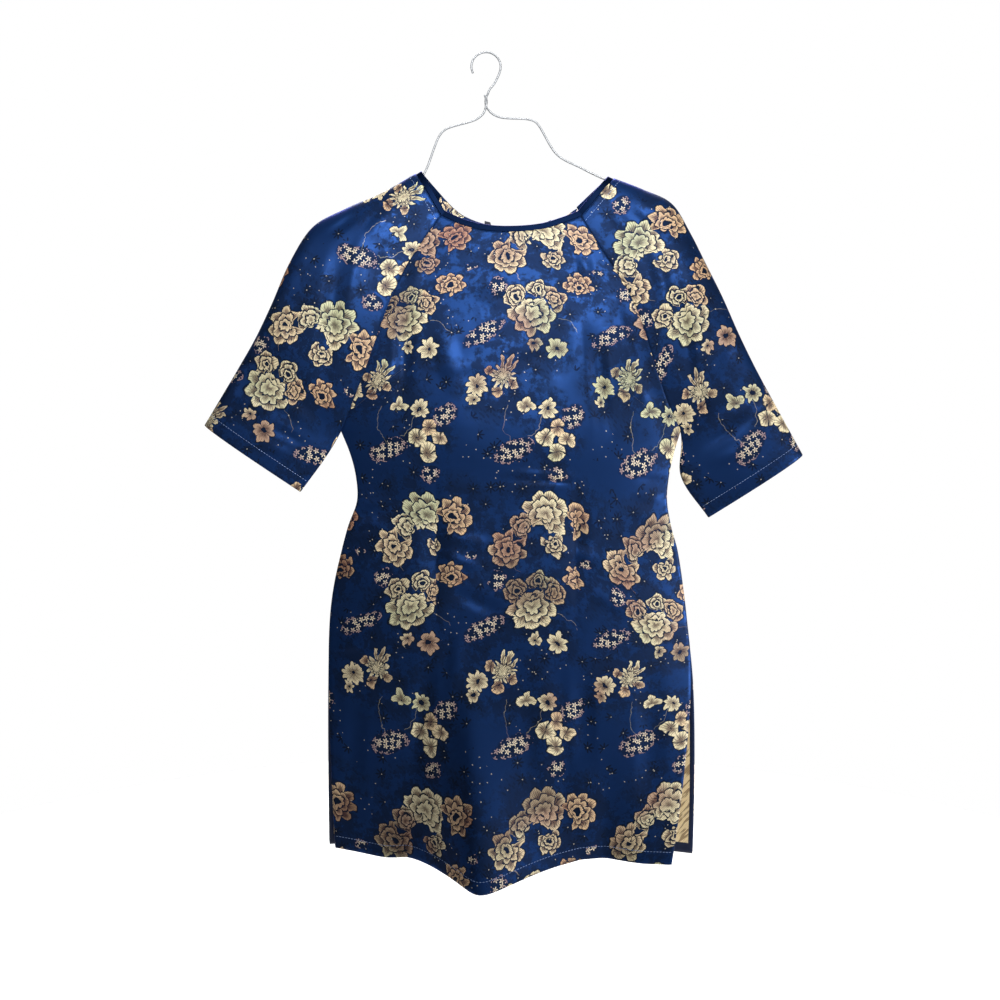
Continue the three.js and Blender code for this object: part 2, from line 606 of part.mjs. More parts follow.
function slider() {
  const half = SLIDER.plate / 2;
  const post = SLIDER.post / 2;
  const outerNear = edgeAt.y + CLOTH / 2 + SLIDER.clear;
  const innerNear = edgeAt.y - BEHIND - TAPE / 2 - SLIDER.clear;
  const innerFace = innerNear - SLIDER.plateDepth;
  const section = plate([
    [half, innerFace], [half, innerNear], [post, innerNear], [post, outerNear],
    [half, outerNear], [half, outerFace], [-half, outerFace], [-half, outerNear],
    [-post, outerNear], [-post, innerNear], [-half, innerNear], [-half, innerFace],
  ], SLIDER.height);
  section.translate(zipX, 0, SLIDER.z - SLIDER.height / 2);
  const bailHalf = BAIL.height / 2;
  const inside = bailHalf - BAIL.thick;
  const root = -0.5;
  const bail = plate([
    [-bailHalf, root], [-inside, root], [-inside, BAIL.rise - BAIL.thick], [inside, BAIL.rise - BAIL.thick],
    [inside, root], [bailHalf, root], [bailHalf, BAIL.rise - 0.6], [bailHalf - 0.6, BAIL.rise],
    [0.6 - bailHalf, BAIL.rise], [-bailHalf, BAIL.rise - 0.6],
  ], BAIL.width);
  // The bail's outline is drawn along the zip and outward, then turned to stand on the plate.
  const standing = new THREE.Matrix4().makeBasis(
    new THREE.Vector3(0, 0, 1), new THREE.Vector3(0, 1, 0), new THREE.Vector3(-1, 0, 0),
  );
  bail.applyMatrix4(standing);
  bail.translate(zipX + BAIL.width / 2, outerFace, SLIDER.z);
  return geometryOf(solidOf(section).add(solidOf(bail)));
}

// A drop-shaped tab with an eye at its top, through which the bail passes.
function pull() {
  const top = PULL.bar / 2;
  const neck = PULL.holeWidth / 2 + PULL.side;
  const foot = PULL.foot / 2;
  const outline = new THREE.Shape();
  outline.moveTo(-neck, top - 0.4);
  outline.lineTo(-neck, -PULL.hole - PULL.bar);
  outline.lineTo(-foot, foot - PULL.length);
  outline.absarc(0, foot - PULL.length, foot, Math.PI, 2 * Math.PI, false);
  outline.lineTo(neck, -PULL.hole - PULL.bar);
  outline.lineTo(neck, top - 0.4);
  outline.lineTo(neck - 0.4, top);
  outline.lineTo(0.4 - neck, top);
  const eye = new THREE.Path();
  const half = PULL.holeWidth / 2;
  eye.moveTo(-half, -top);
  eye.lineTo(-half, -top - PULL.hole);
  eye.lineTo(half, -top - PULL.hole);
  eye.lineTo(half, -top);
  eye.closePath();
  outline.holes.push(eye);
  const options = { depth: PULL.thick, bevelEnabled: false, curveSegments: 10 };
  const geometry = new THREE.ExtrudeGeometry(outline, options);
  geometry.translate(0, 0, -PULL.thick / 2);
  geometry.rotateX(Math.PI / 2);
  return geometry;
}

add('zip_slider', slider(), 'zip');
const pullTab = add('zip_pull', pull(), 'zip');
pullTab.position.set(zipX, PULL_BAR.y, PULL_BAR.z);

// ---- hanger ------------------------------------------------------------------------

// One length of wire: the hook, the right strand of the neck, the frame inside the
// shoulders, and the left strand, which ends beside the hook.
function hanger() {
  const radius = HOOK_RADIUS + WIRE / 2;
  const strand = HANGER_FRAME[0].x;
  const points = steps(8).map((t) => {
    const angle = THREE.MathUtils.lerp(THREE.MathUtils.degToRad(205), THREE.MathUtils.degToRad(-10), t);
    return new THREE.Vector3(radius * Math.cos(angle), 0, radius * Math.sin(angle) - HOOK_RADIUS);
  });
  points.push(new THREE.Vector3(11, 0, -37), new THREE.Vector3(strand + 1, 0, NECK_TOP_Z + 4));
  for (const { x, z } of HANGER_FRAME) points.push(new THREE.Vector3(x, 0, z));
  points.push(new THREE.Vector3(-strand, 0, NECK_TOP_Z));
  const path = new THREE.CatmullRomCurve3(points, false, 'centripetal');
  const section = new THREE.Shape();
  section.absarc(0, 0, WIRE / 2, 0, 2 * Math.PI, false);
  const options = { steps: 124, curveSegments: 4, bevelEnabled: false, extrudePath: path };
  return new THREE.ExtrudeGeometry(section, options);
}

add('hanger', hanger(), 'wire');

export default dress;
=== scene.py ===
# A short-sleeved fitted dress of blue satin brocade with woven flowers, hung by its shoulders
# on a bent-wire hanger. Metres, +Z up, and the front of the dress faces -Y. The origin is the
# point inside the hook where the hanger rests on a rail.

import math

import bpy
import numpy as np
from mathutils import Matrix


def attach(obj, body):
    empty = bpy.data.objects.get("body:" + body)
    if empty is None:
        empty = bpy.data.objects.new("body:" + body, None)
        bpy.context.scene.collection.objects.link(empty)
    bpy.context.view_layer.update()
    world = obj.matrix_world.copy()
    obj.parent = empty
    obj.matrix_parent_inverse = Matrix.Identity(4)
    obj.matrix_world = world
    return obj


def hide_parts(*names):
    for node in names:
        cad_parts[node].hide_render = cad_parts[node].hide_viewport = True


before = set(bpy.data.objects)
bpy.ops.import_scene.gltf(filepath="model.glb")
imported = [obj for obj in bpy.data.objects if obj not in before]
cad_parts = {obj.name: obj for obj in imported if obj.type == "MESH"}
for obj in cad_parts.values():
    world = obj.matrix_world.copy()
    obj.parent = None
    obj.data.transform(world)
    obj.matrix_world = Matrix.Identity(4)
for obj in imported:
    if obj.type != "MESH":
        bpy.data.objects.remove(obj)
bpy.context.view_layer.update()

# ---- the front --------------------------------------------------------------------------
# One piece of brocade from the neck to the hem, shaped by two upright waist darts and two
# bust darts, and sewn to the sleeves along the raglan seams. The sides are open below the
# hips, and the hem swings out over one deep fold.

MM = 0.001
CLOTH = 1.2 * MM
SEAM = 0.34 * MM
FLAT = (CLOTH + SEAM) / 2
ARMPIT_Z = -0.472
SLIT_TOP_Z = -0.735
HEM_START_Z = -0.850
HEM_Z = -0.990
SLIT_GAPE = {"left": 0.009, "right": 0.032}
BACK_GAPE = 0.15
HEM_FALL = {"left": 0.001, "right": -0.012}
NECK_DIP_FADE = 0.75


def table(columns, rows):
    """A table in millimetres as one array for each named column, all but at in metres."""
    names = columns.split()
    values = np.array(rows, dtype=float).T
    return {name: value if name == "at" else value * MM for name, value in zip(names, values)}


LEFT_SLEEVE = table("at seam_x seam_z fold_x fold_z front back rise full", [
    (0, -56, -205, -88, -151, 12, 11, 18, 3),
    (0.14, -76, -234, -126, -173, 15, 13, 12, 4),
    (0.3, -98, -268, -175, -195, 19, 15, 5, 6),
    (0.44, -116, -307, -216, -218, 22, 17, 0, 9),
    (0.58, -133, -352, -244, -261, 22, 17, 0, 12),
    (0.74, -150, -399, -267, -314, 18, 14, 0, 14),
    (0.88, -167, -441, -287, -356, 11, 9, 0, 15),
    (1, -181, -472, -304, -386, 0.77, 0.77, 0, 16),
    (1.5, -202, -507, -327, -425, 0.77, 0.77, 0, 15),
    (2, -232, -548, -351, -465, 0.77, 0.77, 0, 14),
])
RIGHT_SLEEVE = table("at seam_x seam_z fold_x fold_z front back rise full", [
    (0, 118, -206, 160, -157, 12, 11, 9, 3),
    (0.14, 135, -235, 196, -171, 15, 13, 6, 4),
    (0.3, 157, -269, 232, -189, 19, 15, 2, 6),
    (0.44, 177, -303, 255, -226, 22, 17, 0, 9),
    (0.58, 193, -341, 274, -264, 23, 17, 0, 12),
    (0.74, 208, -388, 295, -306, 19, 14, 0, 14),
    (0.88, 225, -435, 315, -351, 11, 9, 0, 16),
    (1, 243, -472, 335, -392, 0.77, 0.77, 0, 18),
    (1.5, 244, -529, 368, -453, 0.77, 0.77, 0, 17),
    (2, 278, -580, 395, -502, 0.77, 0.77, 0, 16),
])
# Outline of the body by height, and how far the front and back bow out at the middle.
BODY = table("height left right front back", [
    (-472, -181, 243, 40, 25), (-502, -169, 234, 37, 21), (-531, -162, 228, 33, 18),
    (-560, -161, 226, 30, 17), (-591, -172, 231, 29, 18), (-621, -180, 239, 30, 21),
    (-666, -190, 246, 33, 25), (-709, -195, 251, 34, 27), (-790, -197, 259, 31, 28),
    (-900, -197, 261, 27, 29), (-990, -196, 259, 24, 30),
])
BODY["at"] = BODY.pop("height")
YOKE = table("at front back", [(0, 16, 15), (0.3, 25, 20), (0.6, 36, 24), (1, 40, 25)])
NECK_DIP = table("at front back", [
    (0, 0, 0), (0.07, 6, 11), (0.15, 12, 20), (0.3, 18.5, 28),
    (0.5, 20.5, 30), (0.72, 17, 27), (0.88, 8.5, 14), (1, 0, 0),
])


def read(rows, column, at):
    """The smooth curve through a table's rows: a straight rise eased at both ends, plus the
    slopes at the two rows, each the slope between the row's neighbours."""
    where, value = rows["at"], rows[column]
    if where[0] > where[-1]:
        where, value = where[::-1], value[::-1]
    last = len(where) - 1
    before = np.maximum(np.arange(last + 1) - 1, 0)
    after = np.minimum(np.arange(last + 1) + 1, last)
    slope = (value[after] - value[before]) / (where[after] - where[before])
    at = np.asarray(at, dtype=float)
    i = np.clip(np.searchsorted(where, at, side="left") - 1, 0, last - 1)
    span = where[i + 1] - where[i]
    t = np.clip((at - where[i]) / span, 0, 1)
    curve = (slope[i] * span * (1 - t) - slope[i + 1] * span * t) * t * (1 - t)
    return value[i] + (value[i + 1] - value[i]) * t * t * (3 - 2 * t) + curve


def lerp(a, b, t):
    """The point a share t of the way from a to b."""
    return a + (b - a) * t


def smooth(value, low, high):
    """0 below low, 1 above high, and 3t^2 - 2t^3 between them."""
    t = np.clip((value - low) / (high - low), 0, 1)
    return t * t * (3 - 2 * t)


def bump(distance):
    """1 at the middle, falling as (1 - d^2)^2 to 0 at a distance of 1."""
    return (1 - np.minimum(distance * distance, 1)) ** 2


CREST = 0.15


def ridge(distance):
    """A ridge that falls off as (1 - |d|)^1.4, its top rounded over the crest's share."""
    off = np.hypot(distance, CREST) - CREST
    return (1 - np.minimum(off, 1)) ** 1.4


# Folds that open towards the hem. Reach is the half width on either side, lift is how far
# the fold stands out at its foot, and dip is how much lower the hem hangs there.
HEM_FOLD_COLUMNS = "top_x top_z foot_x foot_z left_reach right_reach lift dip"
HEM_FOLDS = {
    "front": table(HEM_FOLD_COLUMNS, [
        (-24, -735, -6, -1018, 84, 114, 58, 32),
        (150, -860, 146, -995, 42, 42, -8, -2),
        (-120, -790, -122, -992, 64, 80, 4, 7),
    ]),
    "back": table(HEM_FOLD_COLUMNS, [
        (-80, -780, -92, -995, 60, 70, 14, 3),
        (150, -800, 160, -995, 68, 58, 12, 2),
    ]),
}
# Soft drag folds and creases, each along a line and dying out at both ends.
CREASE_COLUMNS = "from_x from_z to_x to_z reach lift"
CREASES = {
    "front": table(CREASE_COLUMNS, [
        (172, -290, 226, -474, 20, -9), (130, -320, 148, -500, 17, -6),
        (-96, -300, -104, -460, 16, -6),
        (-158, -424, -96, -392, 18, 5), (-60, -545, -64, -700, 22, -4),
        (112, -540, 110, -690, 22, -4), (-172, -650, -98, -560, 18, 4),
        # puckers that run in from the sides at the waist
        (-180, -574, -118, -556, 8, 2.6), (-182, -592, -122, -584, 8, 3.0),
        (-192, -610, -132, -600, 8, 2.4), (-176, -549, -112, -544, 7, -2.2),
        (-190, -630, -150, -622, 7, 1.8), (-178, -566, -134, -566, 5, -1.8),
        (236, -560, 180, -550, 8, 2.4), (244, -590, 172, -572, 9, 2.6),
        (250, -622, 190, -602, 8, 2.0), (240, -536, 184, -532, 7, -2.0),
        # across the waist and the hips
        (14, -522, 126, -529, 7, 2.0), (22, -530, 120, -535, 5, -3.2), (-56, -600, 10, -612, 10, 2.2),
        (-56, -622, -4, -640, 8, 2.0), (-48, -664, 30, -700, 13, -2.2),
        (60, -606, 168, -640, 14, 2.2), (20, -580, 96, -574, 10, 1.6),
        (-150, -700, -70, -660, 15, 2.4), (196, -700, 120, -664, 16, 2.4),
        (240, -720, 190, -694, 7, 2.2), (-190, -742, -150, -738, 8, 2.4),
        (-190, -782, -150, -776, 8, 2.2), (-188, -706, -152, -700, 8, 1.8),
        # from the bust darts towards the middle
        (-172, -472, -104, -412, 4, -2.2), (238, -478, 176, -424, 4, -2.2),
        (-176, -458, -110, -400, 8, 2.4), (240, -462, 180, -410, 8, 2.4),
        (-60, -330, -30, -440, 18, 2.6), (100, -320, 80, -430, 20, -2.6),
        (-20, -300, 40, -322, 12, 1.8), (20, -380, 84, -366, 12, 1.8),
        (-70, -400, 0, -388, 14, 1.6), (30, -440, 100, -452, 16, -1.8),
        (-60, -470, 10, -486, 14, 1.8), (60, -500, 120, -492, 12, 1.8),
        (-96, -300, -70, -250, 12, 2.4), (128, -300, 118, -240, 12, -2.5),
        (-126, -360, -150, -430, 9, 2.6), (166, -330, 200, -450, 9, 3.0),
        # down the skirt
        (64, -720, 84, -960, 26, 3.2), (200, -740, 206, -960, 24, -3.0),
        (-160, -760, -166, -980, 18, -2.6), (-70, -720, -86, -940, 16, -2.6),
        (116, -740, 124, -900, 18, -2.6), (-30, -700, -40, -800, 14, 2.0),
    ]),
    "back": table(CREASE_COLUMNS, [
        (-90, -500, -92, -660, 24, -5), (160, -500, 162, -660, 24, -5),
        (-150, -590, -60, -560, 18, 4), (212, -580, 130, -548, 18, 4),
        (-176, -570, -120, -560, 7, 1.6), (-182, -600, -130, -590, 7, 1.6),
        (238, -566, 184, -556, 7, 1.6), (240, -598, 190, -586, 8, 1.5),
        (-20, -640, 20, -700, 16, 1.8), (90, -620, 60, -690, 16, -1.8),
        (-150, -360, -110, -420, 16, 1.6), (206, -350, 180, -430, 16, 1.6),
        (-60, -320, -100, -400, 18, -1.6), (110, -330, 150, -400, 18, -1.6),
        (-20, -760, -26, -960, 24, 2.2), (80, -760, 88, -960, 22, -2.0),
        (-160, -740, -168, -970, 22, -2.2), (220, -740, 224, -970, 20, 1.8),
    ]),
    # the deep troughs between each sleeve and the body, and folds from the underarm
    "left sleeve front": table(CREASE_COLUMNS, [
        (-176, -236, -204, -462, 19, -9), (-198, -482, -262, -424, 12, 3),
        (-150, -220, -172, -330, 12, 3), (-204, -500, -276, -462, 9, -3),
        (-210, -520, -290, -480, 10, 2.4), (-236, -380, -270, -330, 14, 2.4),
        (-150, -196, -200, -236, 10, -2.4), (-110, -190, -150, -240, 12, 2.6),
        (-120, -226, -150, -290, 9, -2.0), (-230, -290, -262, -340, 12, -2.2),
        (-262, -452, -318, -424, 10, 2.2), (-156, -380, -178, -430, 9, 3.0),
    ]),
    "left sleeve back": table(CREASE_COLUMNS, [
        (-180, -240, -208, -460, 20, -6), (-206, -500, -276, -452, 11, 3),
        (-150, -210, -190, -300, 12, 2.4), (-240, -400, -290, -420, 12, 2.0),
    ]),
    "right sleeve front": table(CREASE_COLUMNS, [
        (226, -250, 256, -462, 18, -10), (262, -470, 306, -404, 13, 3),
        (200, -230, 226, -330, 12, 3), (262, -500, 330, -452, 10, -3),
        (268, -520, 350, -480, 11, 2.6), (286, -390, 316, -330, 16, 3.0),
        (180, -190, 226, -232, 10, -2.2), (150, -196, 188, -240, 12, 2.6),
        (276, -292, 290, -350, 12, -2.4), (300, -460, 352, -424, 12, 2.6),
        (206, -380, 224, -440, 9, 3.0), (232, -320, 246, -400, 7, 2.6),
    ]),
    "right sleeve back": table(CREASE_COLUMNS, [
        (228, -250, 258, -460, 20, -6), (262, -500, 326, -450, 11, 3),
        (190, -206, 232, -300, 12, 2.4), (290, -420, 340, -430, 12, 2.0),
    ]),
}


def hem_folds(face, x, z, column):
    """The hem folds added up: each grows towards its foot as the 1.4th power of the way
    down, and falls off to its reach on either side of its own line."""
    total = np.zeros(np.broadcast(x, z).shape)
    folds = HEM_FOLDS[face]
    for i in range(len(folds["lift"])):
        fold = {name: values[i] for name, values in folds.items()}
        down = np.clip((fold["top_z"] - z) / (fold["top_z"] - fold["foot_z"]), 0, 1)
        middle = lerp(fold["top_x"], fold["foot_x"], down)
        reach = np.where(x < middle, fold["left_reach"], fold["right_reach"]) * (0.6 + 0.4 * down)
        total += fold[column] * ridge((x - middle) / reach) * down**1.4
    return total


def creases(face, x, z):
    """The creases added up: each is a bump across its line times a bump along it."""
    total = np.zeros(np.broadcast(x, z).shape)
    lines = CREASES[face]
    for i in range(len(lines["lift"])):
        line = {name: values[i] for name, values in lines.items()}
        run = np.array([line["to_x"] - line["from_x"], line["to_z"] - line["from_z"]])
        length = np.hypot(*run)
        along = ((x - line["from_x"]) * run[0] + (z - line["from_z"]) * run[1]) / length**2
        off = ((x - line["from_x"]) * run[1] - (z - line["from_z"]) * run[0]) / length
        total += line["lift"] * bump(off / line["reach"]) * bump(2 * along - 1)
    return total


def seam_point(sleeve, station, face):
    """A point of a sleeve's seam, as x and z. The back raglan runs higher near the neck."""
    rise = read(sleeve, "rise", station) if face == "back" else 0
    return read(sleeve, "seam_x", station), read(sleeve, "seam_z", station) + rise


def body_ends(down, face):
    """Both ends of the body's rows, as x, z and depth, and each row's bow. down runs from
    0 to 1 along the raglan seams, and from 1 to 2 down the sides to the hem."""
    yoke = down <= 1
    station = np.minimum(down, 1)
    z = lerp(ARMPIT_Z, HEM_Z, np.maximum(down - 1, 0))
    slit = np.clip((SLIT_TOP_Z - z) / (SLIT_TOP_Z - HEM_Z), 0, 1)
    ends = {}
    for side, sleeve, inward in (("left", LEFT_SLEEVE, 1), ("right", RIGHT_SLEEVE, -1)):
        seam_x, seam_z = seam_point(sleeve, station, face)
        drawn = inward * SLIT_GAPE[side] * slit**1.4 if face == "front" else 0
        gape = (1 if face == "front" else BACK_GAPE) * SLIT_GAPE[side] * slit**1.3
        ends[side] = {
            "x": np.where(yoke, seam_x, read(BODY, side, z) + drawn),
            "z": np.where(yoke, seam_z, z),
            "depth": np.where(yoke, read(sleeve, face, station), FLAT + gape),
        }
    bow = np.where(yoke, read(YOKE, face, station), read(BODY, face, z))
    return ends["left"], ends["right"], bow


def body_points(down, across, face):
    """Points of the front or back: along a straight row between its two ends, bowed out by
    1 - |2a - 1|^2.4, with the folds and creases, and dipped at the neck and the hem."""
    left, right, bow = body_ends(down, face)
    fade = np.where(down <= 1, 1 - smooth(down, 0, NECK_DIP_FADE), 0)
    x = lerp(left["x"], right["x"], across)
    z = lerp(left["z"], right["z"], across) - fade * read(NECK_DIP, face, across)
    hem = np.where(down > 1, smooth(-left["z"], -HEM_START_Z, -HEM_Z), 0)
    z = z + hem * lerp(HEM_FALL["left"], HEM_FALL["right"], across)
    edge = lerp(left["depth"], right["depth"], across)
    spread = np.abs(2 * across - 1)
    bowed = edge + np.maximum(bow - (left["depth"] + right["depth"]) / 2, 0) * (1 - spread**2.4)
    depth = bowed + hem_folds(face, x, z, "lift") + (1 - spread**8) * creases(face, x, z)
    z = z - hem * hem_folds(face, x, z, "dip")
    return np.stack([x, depth if face == "back" else -depth, z], axis=-1)


def normals_of(grid):
    """Unit normals of a grid of points: across the rows times down the columns."""
    normal = np.cross(np.gradient(grid, axis=1), np.gradient(grid, axis=0))
    return normal / np.linalg.norm(normal, axis=2, keepdims=True)


def cloth(name, grid, cut, materials, jump=None, edge=None, thickness=CLOTH):
    """A sheet of cloth as a closed shell: both faces half a thickness off the grid, and a
    rounded rim all round. cut is each point's place on the flat cloth, jump is what a
    column of faces adds to it where a dart is sewn out, and edge is the distance from the
    turned edges. The inner face takes the second material."""
    rows, columns, _ = grid.shape
    normal = normals_of(grid)
    if normal[rows // 3, columns // 4, 1] * grid[rows // 3, columns // 4, 1] < 0:
        normal = -normal
    index = np.arange(rows * columns).reshape(rows, columns)
    ring = np.concatenate([index[0], index[1:, -1], index[-1, -2::-1], index[-2:0:-1, 0]])
    flat = grid.reshape(-1, 3)
    near = np.concatenate([
        index[1], index[1:, -2], index[-2, -2::-1], index[-2:0:-1, 1],
    ])
    outward = flat[ring] - flat[near]
    outward /= np.linalg.norm(outward, axis=1, keepdims=True)
    half = thickness / 2
    points = np.concatenate([
        flat + normal.reshape(-1, 3) * half,
        flat - normal.reshape(-1, 3) * half,
        flat[ring] + outward * half * 0.8,
    ])
    a, b, c, d = index[:-1, :-1], index[:-1, 1:], index[1:, 1:], index[1:, :-1]
    outer = np.stack([a, b, c, d], axis=-1).reshape(-1, 4)
    under = outer[:, ::-1] + rows * columns
    turn = np.roll(np.arange(len(ring)), -1)
    rim = np.arange(len(ring)) + 2 * rows * columns
    first = np.stack([ring, rim, rim[turn], ring[turn]], axis=-1)
    second = np.stack([rim, ring + rows * columns, ring[turn] + rows * columns, rim[turn]], axis=-1)
    faces = np.concatenate([outer, under, first, second])
    corner = points[outer[:, 0]]
    facing = np.cross(points[outer[:, 1]] - corner, points[outer[:, 3]] - corner)
    if np.sum(facing * normal[:-1, :-1].reshape(-1, 3)) < 0:
        faces = faces[:, ::-1]
    mesh = bpy.data.meshes.new(name)
    mesh.vertices.add(len(points))
    mesh.vertices.foreach_set("co", points.ravel())
    mesh.loops.add(faces.size)
    mesh.loops.foreach_set("vertex_index", faces.ravel())
    mesh.polygons.add(len(faces))
    mesh.polygons.foreach_set("loop_start", np.arange(0, faces.size, 4))
    mesh.update(calc_edges=True)
    source = np.concatenate([np.arange(rows * columns)] * 2 + [ring])
    lay = cut.reshape(-1, 2)[source][faces.ravel()]
    if jump is not None:
        column = np.tile(np.arange(columns - 1), rows - 1)
        rim_column = np.minimum(ring % columns, columns - 2)
        of_face = np.concatenate([column, column, rim_column, rim_column])
        row = (source // columns)[faces.ravel()]
        lay[:, 0] += jump[row, np.repeat(of_face, 4)]
    mesh.uv_layers.new(name="cut").data.foreach_set("uv", lay.ravel())
    if edge is not None:
        from_edge = edge.reshape(-1, 2)[source][faces.ravel()]
        mesh.uv_layers.new(name="edge").data.foreach_set("uv", from_edge.ravel())
    for material in materials:
        mesh.materials.append(material)
    slots = np.zeros(len(faces), dtype=int)
    slots[len(outer):2 * len(outer)] = len(materials) - 1
    mesh.polygons.foreach_set("material_index", slots)
    mesh.polygons.foreach_set("use_smooth", np.ones(len(faces), dtype=bool))
    mesh.update()
    piece = bpy.data.objects.new(name, mesh)
    bpy.context.scene.collection.objects.link(piece)
    return piece


def lengths(grid, axis):
    """How far along a grid's rows or columns each point is, over its folds."""
    step = np.linalg.norm(np.diff(grid, axis=axis), axis=2)
    start = np.zeros_like(np.take(step, [0], axis=axis))
    return np.concatenate([start, np.cumsum(step, axis=axis)], axis=axis)


def declare(piece, grid, node, length=None):
    """Puts a cloth piece on the dress in place of its solid. The flat length, that of its
    longest column where none is given, is worked out and not used."""
    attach(piece, "dress")
    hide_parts(node)
    length = length or float(lengths(grid, 0)[-1].max())


# The waist darts: where they lie, and how much cloth each takes up at its widest.
DARTS = {"left": -0.061, "right": 0.111}
DART_TOP_Z = -0.512
DART_FOOT_Z = -0.735
DART_TAKES = 0.016
DART_DEPTH = 1.1 * MM
DART_REACH = 5 * MM
# Where the darts' columns start along the neck, and how the columns close up beside them.
DART_AT_NECK = {"left": 0.3, "right": 0.68}
CLOSING, MIDDLE_CLOSING = 1.3, 0.11

FRONT_ROWS = np.concatenate([np.linspace(0, 1, 78), np.linspace(1, 2, 152)[1:]])
LEFT_SPAN, MIDDLE_SPAN, RIGHT_SPAN = 40, 62, 48


def front_shares():
    """Shares across each row of the front, with one column along each waist dart and the
    columns closer together beside it."""
    left, right, _ = body_ends(FRONT_ROWS, "front")
    width = right["x"] - left["x"]
    knots = {}
    for side, at_neck in DART_AT_NECK.items():
        share = (DARTS[side] - left["x"]) / width
        knots[side] = lerp(at_neck, share, smooth(FRONT_ROWS, 0.1, 1.0))[:, None]
    inset = (SEAM / 2 / width)[:, None]
    out = 1 - (1 - np.linspace(0, 1, LEFT_SPAN + 1)) ** CLOSING
    back = np.linspace(0, 1, RIGHT_SPAN + 1) ** CLOSING
    t = np.linspace(0, 1, MIDDLE_SPAN + 1)
    even = t - MIDDLE_CLOSING * np.sin(2 * math.pi * t)
    return np.concatenate([
        lerp(inset, knots["left"], out),
        lerp(knots["left"], knots["right"], even)[:, 1:],
        lerp(knots["right"], 1 - inset, back)[:, 1:],
    ], axis=1)


front_across = front_shares()
front_down = np.repeat(FRONT_ROWS[:, None], front_across.shape[1], axis=1)
front = body_points(front_down, front_across, "front")
# The cloth bends softly at the armpits' height: there each depth is the mean of the rows
# within 28 mm, except at the seams.
EASED_ROWS, EASED_REACH = 17, 0.065
padded = np.pad(front[:, :, 1], ((EASED_ROWS // 2, EASED_ROWS // 2), (0, 0)), mode="edge")
mean_depth = np.mean([padded[i:i + len(front)] for i in range(EASED_ROWS)], axis=0)
eased = bump((front[:, :, 2] - ARMPIT_Z) / EASED_REACH) * (1 - np.abs(2 * front_across - 1) ** 8)
front[:, :, 1] = lerp(front[:, :, 1], mean_depth, eased)
dart_column = {"left": LEFT_SPAN, "right": LEFT_SPAN + MIDDLE_SPAN}
dart_middle_z, dart_half = (DART_TOP_Z + DART_FOOT_Z) / 2, (DART_TOP_Z - DART_FOOT_Z) / 2
dart_share = bump((front[:, :1, 2] - dart_middle_z) / dart_half)
for side in DARTS:
    off = (front[:, :, 0] - front[:, dart_column[side], 0][:, None]) / DART_REACH
    front[:, :, 1] += DART_DEPTH * np.sqrt(dart_share) * np.exp(-off * off)

# Where the flowers' repeat starts on the front: the middle of a big double flower.
REPEAT = (0.157, 0.362)
FRONT_START = (-0.081, -0.596)
FRONT_MIDDLE_X = 0.017
# The side of the front is drawn down at the right hip, so its flowers lie lower there.
HIP_DRAW = {"x": 0.215, "z": -0.63, "wide": 0.14, "high": 0.24, "down": 0.034}


def body_cut(grid, middle_x):
    """The flat place of each point: its way along the row from the upright line at
    middle_x, and its height, with the middle row's own lengths down the cloth."""
    along = lengths(grid, 1)
    at_middle = np.array([np.interp(middle_x, x, s) for x, s in zip(grid[:, :, 0], along)])
    across = along - at_middle[:, None] + middle_x
    down = lengths(grid, 0)
    base = np.argmin(np.abs(grid[:, 0, 2] - ARMPIT_Z))
    height = grid[base, :, 2] - (down - down[base])
    return np.stack([across, height], axis=-1)


front_cut = body_cut(front, FRONT_MIDDLE_X)
draw = bump((front[:, :, 0] - HIP_DRAW["x"]) / HIP_DRAW["wide"])
draw *= bump((front[:, :, 2] - HIP_DRAW["z"]) / HIP_DRAW["high"])
front_cut[:, :, 1] += HIP_DRAW["down"] * draw
front_cut -= np.array(FRONT_START)

front_jump = np.zeros((front.shape[0], front.shape[1] - 1))
front_jump[:, :dart_column["left"]] = -DART_TAKES * dart_share
front_jump[:, dart_column["right"]:] = DART_TAKES * dart_share


def edge_distance(grid, slits):
    """How far each point is from the slit edges, and from the hem, in metres."""
    down = lengths(grid, 0)
    along = lengths(grid, 1)
    above = np.maximum(grid[:, :, 2] - SLIT_TOP_Z, 0)
    aside = np.full(along.shape, 0.2)
    if "first" in slits:
        aside = np.minimum(aside, along + above)
    if "last" in slits:
        aside = np.minimum(aside, along[:, -1:] - along + above)
    return np.stack([aside, down[-1:] - down], axis=-1)


# The brocade. Flowers are chosen by which is nearest for its size, and drawn as rows of
# scalloped petals round a centre. All sizes are in metres, from the start of the repeat.

def put(tree, kind, *inputs, out=0, **settings):
    """Adds a node with its settings. A socket is linked to its input, a value is set on
    it, and None leaves it. Gives the output numbered out."""
    made = tree.nodes.new(kind)
    for name, value in settings.items():
        setattr(made, name, value)
    for socket, value in zip(made.inputs, inputs):
        if isinstance(value, bpy.types.NodeSocket):
            tree.links.new(value, socket)
        elif value is not None:
            socket.default_value = value
    return made.outputs[out]


def maths(tree, operation, *inputs):
    """One step of arithmetic on values."""
    return put(tree, "ShaderNodeMath", *inputs, operation=operation)


def vectors(tree, operation, *inputs, out=0):
    """One step of arithmetic on vectors."""
    return put(tree, "ShaderNodeVectorMath", *inputs, operation=operation, out=out)


def mixed(tree, share, a, b, kind="FLOAT"):
    """a where share is 0 and b where it is 1, as values, vectors or colours."""
    skipped = {"FLOAT": 2, "VECTOR": 4, "RGBA": 6}[kind]
    inputs = [share] + [None] * (skipped - 1) + [a, b]
    out = {"FLOAT": 0, "VECTOR": 1, "RGBA": 2}[kind]
    return put(tree, "ShaderNodeMix", *inputs, data_type=kind, out=out)


def stepped(tree, value, low, high):
    """0 below low, 1 above high, smoothly between them."""
    return put(tree, "ShaderNodeMapRange", value, low, high, 0.0, 1.0, interpolation_type="SMOOTHSTEP")


